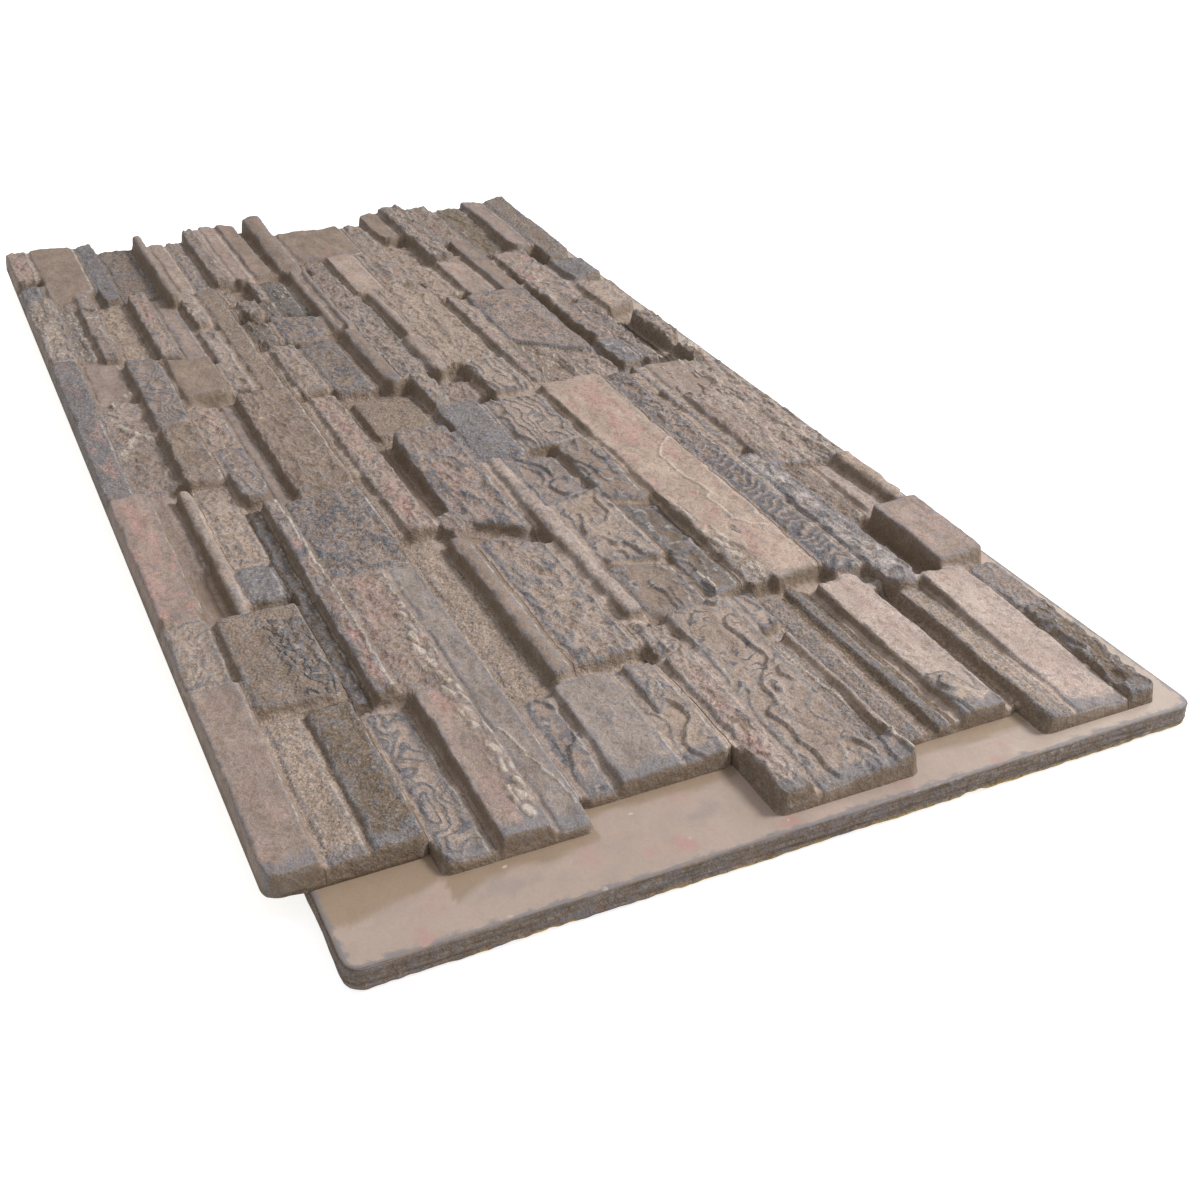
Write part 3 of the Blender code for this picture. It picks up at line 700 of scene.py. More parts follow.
    def rail(self, x: np.ndarray, y: np.ndarray, across: np.ndarray) -> Skin:
        """A smooth rail with a crowned back.

        Args:
            x: Board X in mm.
            y: Board Y in mm.
            across: Place across the stone, from -1 to 1.

        Returns:
            The face.
        """
        wave = self.noise.fractal(x / 30.0, y / 16.0, 2)
        rise = 0.8 * wave - 1.6 * across * across
        return Skin(rise, 0.5 * ramp(wave, 0.2, 0.7), np.zeros_like(wave), (0.35, 0.3, 0.45, 0.05))

    def crag(self, x: np.ndarray, y: np.ndarray, across: np.ndarray) -> Skin:
        """Jagged rock between the dressed stones.

        Args:
            x: Board X in mm.
            y: Board Y in mm.
            across: Place across the stone, from -1 to 1; not used by this face.

        Returns:
            The face.
        """
        bend = 5.0 * self.noise.plain(x / 20.0, y / 16.0)
        ridge = 1.0 - abs(self.noise.fractal((x + bend) / 22.0, (y + bend) / 11.0, 3)) * 1.7
        rise = 4.2 * (ridge - 0.75) + 0.9 * self.noise.fractal(x / 9.0, y / 6.0, 2)
        return Skin(rise, ramp(ridge, 0.72, 0.95) * 0.8, 0.5 * ramp(ridge, 0.9, 1.0), (0.6, 0.45, 0.9, 0.2))

    def lumpy(self, x: np.ndarray, y: np.ndarray, across: np.ndarray) -> Skin:
        """Rounded lumps and dimples, as a chisel leaves them.

        Args:
            x: Board X in mm.
            y: Board Y in mm.
            across: Place across the stone, from -1 to 1; not used by this face.

        Returns:
            The face.
        """
        wave = self.noise.fractal(x / 19.0, y / 12.0, 3)
        ridge = 1.0 - abs(self.noise.plain(x / 21.0 + 31.0, y / 10.0)) * 2.0
        rise = 1.5 * wave + 0.7 * ramp(ridge, 0.4, 1.0)
        return Skin(rise, ramp(wave, 0.2, 0.7), 0.3 * ramp(ridge, 0.85, 1.0), (0.65, 0.45, 0.7, 0.1))

    def swirl(self, x: np.ndarray, y: np.ndarray, across: np.ndarray) -> Skin:
        """Flowing ridges that turn back on themselves.

        Args:
            x: Board X in mm.
            y: Board Y in mm.
            across: Place across the stone, from -1 to 1; not used by this face.

        Returns:
            The face.
        """
        twist = self.noise.fractal(x / 40.0, y / 30.0, 2)
        crest = ridges(y / 9.5 + 2.8 * twist + 0.35 * self.noise.plain(x / 12.0, y / 12.0))
        glow = 0.3 * ramp(crest, 0.85, 1.0)
        return Skin(0.8 * crest + 1.1 * twist, ramp(crest, 0.45, 0.9), glow, (0.55, 0.5, 0.55, 0.15))


@dataclass
class FaceRelief:
    """The whole moulded face as one relief, sampled on rows along X and columns along Y."""

    coarse_step: float = 2.25
    fine_step: float = 1.4
    column_step: float = 1.0
    wall_draft: float = 0.05
    wall_foot: float = 0.6
    worn_edge: float = 1.9
    worn_share: float = 0.16
    worn_share_of_rail: float = 0.32
    foot_reach: float = 3.0
    foot_rise: float = 1.4
    lean_over: float = 0.9
    lean_along: float = 0.8
    groove_span: float = 5.2
    groove_depth: float = 1.1
    rounding_drop: float = 2.2
    near_corner: float = 13.0
    far_corner: float = 6.0
    open_corner: float = 7.0
    stone_corner: float = 6.0
    end_overrun: float = 8.0
    seed: int = 11

    def __post_init__(self) -> None:
        """Lay out the rows and columns and the empty paint layers."""
        self.noise = Noise(self.seed)
        self.face = StoneFace()
        self.rows = self.lay_rows()
        self.columns = self.lay_columns()
        self.x, self.y = np.meshgrid(self.rows, self.columns, indexing="ij")
        self.round_corner(BAND_1.near, -1.0, self.near_corner)
        self.round_corner(BAND_1.far, 1.0, self.far_corner)
        self.edge = self.edge_distance()
        shape = self.x.shape
        lapped = (self.x < PLATE_FAR) | (self.y < PLATE_LEFT)
        self.rim_height = np.where(lapped, LAP_HEIGHT + 0.3, PLATE_TOP - 0.4)
        self.floor = self.rim_height + (FLOOR_HEIGHT - self.rim_height) * ramp(self.edge, 0.3, 2.4)
        self.height = self.floor.copy()
        self.depth = np.full(shape, -9.0)
        self.ink = np.zeros(shape)
        self.glow = np.zeros(shape)
        self.texture = np.tile(np.array([0.12, 0.1, 0.25, 0.0]), (*shape, 1))
        self.wash = np.full(shape, 0.15)
        self.rose = np.zeros(shape)
        self.side = np.zeros(shape)
        self.tone = np.tile(linear(Paint.BROWN.value), (*shape, 1))

    def lay_rows(self) -> np.ndarray:
        """Row places along X, finer towards the near end and at each band's ends.

        Returns:
            Places in mm, growing.
        """
        start, stop = BAND_1.far, max(band.near for band in BANDS)
        exact = {band.near for band in BANDS} | {band.far for band in BANDS}
        ends = []
        for band in BANDS:
            ends += [band.near - step for step in (0.0, 0.35, 0.8, 1.35, 2.0, 2.8, 3.8)]
            ends += [band.far + step for step in (0.0, 0.5, 1.2, 2.0)]
        ends = sorted(set(round(end, 3) for end in ends))
        kept = [ends[0]]
        for end in ends[1:]:
            apart = end - kept[-1] >= 0.3
            if apart or end in exact:
                if not apart and kept[-1] not in exact:
                    kept.pop()
                kept.append(end)
        rows, place = [], start
        while place < stop:
            if min(abs(place - end) for end in kept) > 0.5:
                rows.append(place)
            share = (place - start) / (stop - start)
            place += self.coarse_step + (self.fine_step - self.coarse_step) * share ** 0.8
        return np.array(sorted(rows + kept))

    def lay_columns(self) -> np.ndarray:
        """Column places along Y, finer at the two long sides of the board.

        Returns:
            Places in mm, growing.
        """
        fine = [0.0, 0.4, 0.8, 1.25, 1.75, 2.3, 3.0, 3.8]
        places = [BAND_1.left + step for step in fine]
        for band in BANDS:
            low = places[-1]
            high = band.right - (fine[-1] if band is BAND_6 else 0.0)
            count = round((high - low) / self.column_step)
            places += list(np.linspace(low, high, count + 1)[1:])
        places += [BAND_6.right - step for step in reversed(fine[:-1])]
        return np.array(places)

    def round_corner(self, end: float, inward: float, radius: float) -> None:
        """Draw the samples of a square left corner in to a round one.

        Args:
            end: Board X of the corner.
            inward: 1 where the board lies past the end along X, else -1.
            radius: The corner's radius in mm.
        """
        along = radius - (self.x - end) * inward
        over = radius - (self.y - BAND_1.left)
        within = (along > 0.0) & (over > 0.0) & (along <= radius)
        drawn_x = along * np.sqrt((1.0 - over ** 2 / (2.0 * radius ** 2)).clip(min=0.0))
        drawn_y = over * np.sqrt((1.0 - along ** 2 / (2.0 * radius ** 2)).clip(min=0.0))
        self.x = np.where(within, end + (radius - drawn_x) * inward, self.x)
        self.y = np.where(within, BAND_1.left + radius - drawn_y, self.y)

    def edge_distance(self) -> np.ndarray:
        """Distance in from the open edge of the staggered bands, in mm.

        Returns:
            One distance per sample.
        """
        end = np.full(self.x.shape, FAR_AWAY)
        for band in BANDS:
            inside = (self.y >= band.left) & (self.y <= band.right)
            reach = np.minimum(self.x - band.far, band.near - self.x)
            end = np.where(inside, np.minimum(end, reach), end)
        side = np.full(self.x.shape, FAR_AWAY)
        for left, right in zip(BANDS[:-1], BANDS[1:]):
            for ends in (sorted((left.near, right.near)), sorted((left.far, right.far))):
                out = np.maximum(ends[0] - self.x, self.x - ends[1]).clip(min=0.0)
                side = np.minimum(side, np.hypot(out, self.y - left.right))
        side = np.minimum(side, np.minimum(self.y - BAND_1.left, BAND_6.right - self.y))
        on_left = self.y < 30.0
        corner = np.where(on_left, self.near_corner, self.open_corner)
        corner = np.where(on_left & (self.x < 40.0), self.far_corner, corner)
        return rounded(end, side, corner).clip(min=0.0)

    def window(self, low: tuple[float, float], high: tuple[float, float]) -> tuple[slice, slice]:
        """The samples between two corners.

        Args:
            low: Lowest board X and Y in mm.
            high: Highest board X and Y in mm.

        Returns:
            The rows and the columns.
        """
        first, last = np.searchsorted(self.rows, (low[0], high[0]))
        start, stop = np.searchsorted(self.columns, (low[1], high[1]))
        return slice(first, last), slice(start, stop)

    def place_stones(self) -> None:
        """Stand every stone of every band on the floor, and draw the veins over them."""
        for band in BANDS:
            for stone in band.stones:
                self.place_stone(band, stone)
        for vein in VEINS:
            self.draw_vein(vein)

    def draw_vein(self, vein: Vein) -> None:
        """Raise a vein along its course.

        Args:
            vein: The vein.
        """
        course = np.array(vein.course, float)
        margin = 2.0 * vein.width
        part = self.window(tuple(course.min(axis=0) - margin), tuple(course.max(axis=0) + margin))
        x, y = self.x[part], self.y[part]
        bent_x = x + 2.0 * self.noise.fractal(x / 14.0, y / 14.0, 2)
        bent_y = y + 1.6 * self.noise.fractal(x / 11.0 + 60.0, y / 11.0, 2)
        away = np.full(x.shape, FAR_AWAY)
        for begin, end in zip(course[:-1], course[1:]):
            along = end - begin
            share = ((bent_x - begin[0]) * along[0] + (bent_y - begin[1]) * along[1]) / (along @ along)
            share = share.clip(0.0, 1.0)
            gone = np.hypot(bent_x - begin[0] - share * along[0], bent_y - begin[1] - share * along[1])
            away = np.minimum(away, gone)
        body = ramp(away, vein.width * 0.75, vein.width * 0.2)
        crest = body
        if vein.broken:
            bend = 3.0 * self.noise.plain(x / 16.0, y / 9.0)
            first, second, own = self.noise.cells(x / 19.0 + 4.0, (y + bend - 0.12 * x) / 6.5)
            crest = body * ramp(second - first, 0.02, 0.5) * (0.35 + 0.75 * own)
            body = body * ramp(own, 0.1, 0.4)
        on_stone = ramp(self.depth[part], 0.0, 2.0)
        self.height[part] += vein.rise * crest * on_stone
        self.glow[part] = np.maximum(self.glow[part], vein.paint * crest * on_stone)
        self.ink[part] = np.maximum(self.ink[part], 0.8 * (body - crest).clip(0.0, 1.0) * on_stone)

    def outline_depth(self, band: Band, stone: Stone, x: np.ndarray, y: np.ndarray) -> np.ndarray:
        """How far inside a stone's broken outline each point lies.

        Args:
            band: The stone's band.
            stone: The stone.
            x: Board X in mm.
            y: Board Y in mm.

        Returns:
            Depth in mm, negative outside.
        """
        rough = 1.5 if stone.kind in (Kind.CRAG, Kind.CHIPS, Kind.FLAKY) else 1.0
        bent_x = x + 1.2 * rough * self.noise.fractal(x / 26.0, y / 26.0 + 50.0, 2)
        bent_y = y + 1.1 * rough * self.noise.fractal(x / 42.0, y / 30.0, 2)
        bent_y = bent_y + 0.7 * rough * self.noise.fractal(x / 13.0, y / 12.0, 2)
        bent_x = bent_x + 0.7 * rough * self.noise.fractal(x / 12.0 + 20.0, y / 10.0, 2)
        along, over = bent_x - band.far, bent_y - band.left
        share = np.clip((over - stone.left) / stone.width, -0.2, 1.2)
        far = along - (stone.far + stone.far_lean * share)
        near = (stone.near + stone.near_lean * share) - along
        if stone.near >= BOARD_LENGTH:
            near = near + self.end_overrun
        side = np.minimum(over - stone.left, stone.right - over)
        far = far / math.hypot(1.0, stone.far_lean / stone.width)
        near = near / math.hypot(1.0, stone.near_lean / stone.width)
        # An end wall is drawn over at least two rows, so that it stays straight
        far = np.where(far < 3.0, 0.5 * far, far - 1.5)
        near = np.where(near < 3.0, 0.5 * near, near - 1.5)
        if stone.round_near:
            half = stone.width / 2.0
            from_centre = np.hypot(along - (stone.near - half), over - stone.left - half)
            near = np.where(along > stone.near - half, half - from_centre, near)
        return rounded(np.minimum(far, near), side, min(self.stone_corner, stone.width * 0.3))

    def plain_top(self, band: Band, stone: Stone, x: np.ndarray, across: np.ndarray) -> np.ndarray:
        """Height of a stone before its face is broken, with its falls and a slight tilt.

        Args:
            band: The stone's band.
            stone: The stone.
            x: Board X in mm.
            across: Place across the stone, from -1 to 1.

        Returns:
            Height in mm.
        """
        along = np.clip(2.0 * (x - band.far - stone.far) / (stone.near - stone.far) - 1.0, -1.0, 1.0)
        turn = math.sin(0.7 * stone.far + 1.3 * stone.left + band.left) * stone.fullness
        rake = math.sin(1.9 * stone.near + 0.6 * stone.left) * stone.fullness
        tilt = self.lean_over * turn * across + self.lean_along * rake * along
        fall = (stone.near_fall * (1.0 + along) + stone.right_fall * (1.0 + across)) / 2.0
        return FLOOR_HEIGHT + stone.relief - fall + tilt

    def worn_width(self, stone: Stone, x: np.ndarray, y: np.ndarray) -> np.ndarray:
        """How far the worn crest reaches in from a stone's wall.

        Args:
            stone: The stone.
            x: Board X in mm.
            y: Board Y in mm.

        Returns:
            The reach in mm.
        """
        share = self.worn_share_of_rail if stone.kind is Kind.RAIL else self.worn_share
        most = self.worn_edge + 8.0 * (share - self.worn_share)
        worn = min(most, share * stone.width, 0.6 * stone.relief)
        return worn * (1.0 + 0.7 * self.noise.fractal(x / 17.0 + 90.0, y / 12.0, 2))

    def place_stone(self, band: Band, stone: Stone) -> None:
        """Raise one stone and lay down its paint layers.

        Args:
            band: The stone's band.
            stone: The stone.
        """
        reach = self.foot_reach + 3.0
        part = self.window(
            (band.far + stone.far - reach + min(0.0, stone.far_lean), band.left + stone.left - reach),
            (band.far + stone.near + reach + max(0.0, stone.near_lean), band.left + stone.right + reach),
        )
        x, y = self.x[part], self.y[part]
        depth = self.outline_depth(band, stone, x, y)
        middle = band.left + (stone.left + stone.right) / 2.0
        across = np.clip((y - middle) / (stone.width / 2.0), -1.0, 1.0)
        skin = self.face.skin(stone, x + 13.0 * stone.left, y + 7.0 * stone.relief, across)
        calm = ramp(depth, 0.0, 4.0) * stone.fullness
        top = self.plain_top(band, stone, x, across) + skin.height * (0.35 + 0.65 * calm)
        # A drafted wall rises from the foot, and a quarter round leads from it to the top
        foot = np.maximum(self.rim_height[part], FLOOR_HEIGHT - 3.0 * ramp(self.edge[part], 4.0, 0.0))
        worn = self.worn_width(stone, x, y)
        wall = self.wall_foot + self.wall_draft * stone.relief
        rise = np.clip(depth / wall, 0.0, 1.0)
        over = np.clip((depth - wall) / (worn * 1.15), 0.0, 1.0)
        crown = np.sqrt(np.clip(1.0 - (1.0 - over) ** 2, 0.0, 1.0))
        height = foot + (top - worn - foot) * rise ** 0.9 + worn * crown * (rise >= 1.0)
        fillet = self.foot_rise * ramp(depth, -self.foot_reach, 0.3) ** 2
        height = np.where(depth > 0.0, np.maximum(height, foot + fillet), foot + fillet)
        wins = (height > self.height[part]) & (depth > -self.foot_reach)
        self.height[part] = np.where(wins, height, self.height[part])
        beside = (depth > self.depth[part]) & (self.depth[part] <= 0.0) & (depth > -5.0)
        closest = (wins & (depth > 0.0)) | beside
        for layer, value in (
            (self.depth, depth), (self.ink, skin.ink * calm), (self.glow, skin.glow * calm),
            (self.wash, stone.wash), (self.rose, stone.rose), (self.side, across),
        ):
            layer[part] = np.where(closest, value, layer[part])
        for layer, value in ((self.tone, linear(stone.tone.value)), (self.texture, skin.texture)):
            layer[part] = np.where(closest[..., None], value, layer[part])

    def reaches(self, span: float) -> list[tuple[int, int]]:
        """Pairs of an axis, 0 for the rows or 1 for the columns, and how many samples a span in mm covers."""
        steps = ((self.coarse_step + self.fine_step) / 2.0, self.column_step)
        return [(axis, max(1, round(span / step))) for axis, step in enumerate(steps)]

    def blur(self, layer: np.ndarray, span: float) -> np.ndarray:
        """Average a layer over a square of about the given half width.

        Args:
            layer: What is averaged.
            span: Half width in mm.

        Returns:
            The averaged layer.
        """
        result = layer
        for axis, reach in self.reaches(span):
            pad = [(0, 0), (0, 0)]
            pad[axis] = (reach + 1, reach)
            total = np.cumsum(np.pad(result, pad, mode="edge"), axis=axis)
            size = result.shape[axis]
            upper = np.take(total, range(2 * reach + 1, 2 * reach + 1 + size), axis=axis)
            lower = np.take(total, range(0, size), axis=axis)
            result = (upper - lower) / (2 * reach + 1)
        return result

    def spread_over(self, layer: np.ndarray, span: float, pick: Callable) -> np.ndarray:
        """Take the highest or the lowest of a layer within a span.

        Args:
            layer: What is looked through.
            span: Half width in mm.
            pick: np.maximum or np.minimum.

        Returns:
            The picked values.
        """
        result = layer
        for axis, reach in self.reaches(span):
            pad = [(0, 0), (0, 0)]
            pad[axis] = (reach, reach)
            wide = np.pad(result, pad, mode="edge")
            size = result.shape[axis]
            result = np.take(wide, range(0, size), axis=axis)
            for shift in range(1, 2 * reach + 1):
                result = pick(result, np.take(wide, range(shift, shift + size), axis=axis))
        return result

    def soften(self) -> None:
        """Fill the narrow grooves as the mould does, and keep inside the board's edge."""
        closed = self.spread_over(self.height, self.groove_span, np.maximum)
        closed = self.blur(self.spread_over(closed, self.groove_span, np.minimum), 1.5)
        wander = self.noise.fractal(self.x / 30.0, self.y / 22.0 + 80.0, 2)
        lifted = closed - self.groove_depth * (1.0 + 0.6 * wander)
        lifted = self.floor + (lifted - self.floor) * ramp(self.edge, 0.0, 1.2)
        gap = np.clip(0.5 + (self.height - lifted) / 2.4, 0.0, 1.0)
        mixed = lifted + (self.height - lifted) * gap + 0.6 * gap * (1.0 - gap)
        self.height = np.where(self.edge > 0.2, np.maximum(self.height, mixed), self.height)
        inward = np.clip((self.edge - 1.4) / (2.8 + 1.2 * wander), 0.0, 1.0)
        rounding = 1.0 - np.sqrt(1.0 - (1.0 - inward) ** 2)
        worn = self.rounding_drop * rounding * ramp(self.height - self.floor, 1.0, 5.0)
        self.height = np.minimum(self.height - worn, self.rim_height + 9.0 * self.edge)
        self.height = np.minimum(self.height, HIGHEST_STONE)


def lay(base: np.ndarray, paint: Paint, share: np.ndarray) -> np.ndarray:
    """Lay a paint over linear colours, by the share of it that shows."""
    return base + (linear(paint.value) - base) * np.clip(share, 0.0, 1.0)[..., None]


@dataclass
class FacePainter:
    """The paint of the moulded face: base spray, dry-brush, rims, a dark wash with painted shade in the
    hollows, and painted highlights.
    """

    relief: FaceRelief
    seed: int = 23

    def __post_init__(self) -> None:
        """Find what both coats follow: hollows, walls, ends and the brush's own patches."""
        relief, x, y = self.relief, self.relief.x, self.relief.y
        self.noise = Noise(self.seed)
        self.tight = relief.height - relief.blur(relief.height, 2.0)
        self.wide = relief.height - relief.blur(relief.height, 7.0)
        slope_x = np.gradient(relief.height, relief.rows, axis=0)
        self.slope_y = np.gradient(relief.height, relief.columns, axis=1)
        wall = ramp(np.hypot(slope_x, self.slope_y), 0.8, 2.4)
        # The board's left skirt is painted as a face above the lap, and not as a wall
        self.wall = wall * (1.0 - 0.85 * ramp(y, 6.0, 4.0) * ramp(relief.height, 21.0, 26.0))
        self.mottle = self.noise.fractal(x / 28.0, y / 18.0, 4)
        self.cloud = self.noise.fractal(x / 70.0 + 9.0, y / 40.0, 3)
        self.brush = self.noise.fractal(x / 22.0, y / 9.0, 3)
        self.inside = ramp(relief.depth, 0.0, 2.0)
        self.to_end = band_near(y) - x

    def colours(self) -> np.ndarray:
        """Mix the base paint of every sample.

        Returns:
            Linear colours.
        """
        relief, x, y = self.relief, self.relief.x, self.relief.y
        colour = relief.tone * (1.0 + 0.26 * self.mottle + 0.14 * self.cloud)[..., None]
        rosy = ramp(self.noise.fractal(x / 30.0 + 70.0, y / 13.0, 3), 0.0, 0.45)
        colour = lay(colour, Paint.ROSE, relief.rose * rosy * self.inside * 1.2)
        for stain in STAINS:
            away = np.hypot((x - stain.x) / stain.long, (y - stain.y) / stain.wide)
            spot = ramp(away + 0.5 * self.brush + 0.4 * self.mottle, 1.3, 0.0)
            colour = lay(colour, stain.paint, stain.share * 0.85 * spot * self.inside)
        # Bark brown laid in the hollows is partly the panel's own dark wash and partly painted shade
        hollow_wash_and_shade = ramp(-self.tight, 0.1, 1.6) + 0.6 * ramp(-self.wide, 0.8, 5.0)
        colour = lay(colour, Paint.BARK, hollow_wash_and_shade * 0.45)
        scraped = self.noise.fractal(x / 26.0, relief.height / 2.6 + y / 40.0, 3)
        colour = lay(colour, Paint.KHAKI, self.wall * 0.9)
        colour = lay(colour, Paint.BEIGE, self.wall * ramp(scraped, 0.0, 0.6) * 0.4)
        # Umber on the walls that face left, away from the key light, and in the deepest hollows is painted
        # shade
        shaded = self.wall * (0.05 + 0.25 * ramp(self.slope_y, 0.8, 2.4))
        return lay(colour, Paint.UMBER, ramp(-self.wide, 3.0, 9.0) * 0.2 + shaded)

    def washes(self) -> np.ndarray:
        """Mix the brushed coats, and wear the relief's texture off its walls.

        Returns:
            Shares of smoke, slate, and pale dry-brush with painted highlights.
        """
        relief, brush, wash = self.relief, self.brush, self.relief.wash
        near_edge = ramp(relief.depth + 4.0 * brush, 9.0, 0.5) * self.inside
        smoke = wash * (0.75 * relief.ink + 0.75 * near_edge + 0.4 * ramp(self.tight, 0.0, 0.5))
        patchy = 0.3 + 0.9 * relief.texture[..., 2]
        smoke = smoke + wash * ramp(self.mottle + 0.6 * brush, 0.0, 0.6) * 0.8 * patchy
        smoke = smoke + ramp(self.to_end + 9.0 * brush, 19.0, 4.0) * 0.8 + 0.2 * near_edge
        slate = wash * relief.ink * 1.2 + 0.5 * wash * near_edge * ramp(brush, 0.0, 0.6)
        slate = slate + 0.6 * wash * ramp(self.cloud + 0.5 * brush, 0.25, 0.8)
        # Pale paint on the stones' right rims, which face the key light, is a painted highlight. The crest
        # glow adds pale paint that is partly painted highlight
        right_rim_highlight = ramp(relief.side, 0.2, 0.9) * ramp(abs(relief.depth - 1.7), 1.3, 0.3)
        pale = 0.48 * right_rim_highlight * ramp(brush, -0.6, 0.2) + relief.glow * self.inside * (1.0 - self.wall)
        bare = (1.0 - 0.92 * self.wall) * ramp(self.to_end, 0.4, 2.4)
        scattered = ramp(self.noise.fractal(relief.x / 30.0 + 33.0, relief.y / 22.0, 2), -0.35, 0.35)
        relief.texture[..., 3] *= bare * (0.25 + 0.75 * scattered)
        relief.texture[..., 0] *= 1.0 - 0.3 * self.wall
        washes = np.stack([smoke * self.inside * bare, slate * self.inside * bare, pale * bare], axis=-1)
        return washes.clip(0.0, 1.0)


class Coat(NamedTuple):
    """One coat of the finish: a paint, the pattern it follows and the share that weighs it."""

    paint: Paint
    pattern: str
    low: float
    high: float
    most: float
    share: str


COATS = (
    Coat(P.BARK, "speck", 0.5, 0.0, 0.4, "sandy"),
    Coat(P.CREAM, "speck", 0.5, 1.0, 0.22, "sandy"),
    Coat(P.UMBER, "grit", 0.5, 0.85, 0.35, "sandy"),
    Coat(P.SMOKE, "smoke_dab", 0.52, 0.7, 0.9, "smoke_dab"),
    Coat(P.SLATE, "slate_dab", 0.52, 0.7, 0.9, "slate_dab"),
    # The pale dab lays cream for the pale share: dry-brush, and the painted highlights on rims and crests
    Coat(P.CREAM, "pale_dab", 0.52, 0.7, 0.9, "pale_dab"),
    Coat(P.UMBER, "grain", 0.48, 0.3, 0.6, "grain"),
    Coat(P.CREAM, "grain", 0.52, 0.72, 0.36, "grain"),
    Coat(P.SMOKE, "lump", 0.52, 0.66, 0.48, "lump"),
    Coat(P.BARK, "lump", 0.48, 0.36, 0.9, "lump"),
    Coat(P.UMBER, "brush", 0.4, 0.27, 0.5, "lump"),
    Coat(P.CREAM, "brush", 0.6, 0.74, 0.45, "lump"),
    Coat(P.SLATE, "line", 0.0, 1.0, 0.7, "thread"),
    Coat(P.SLATE, "hook_off", 0.05, 0.02, 1.0, "dashed"),
    Coat(P.CREAM, "fleck", 0.13, 0.08, 0.75, "open"),
)


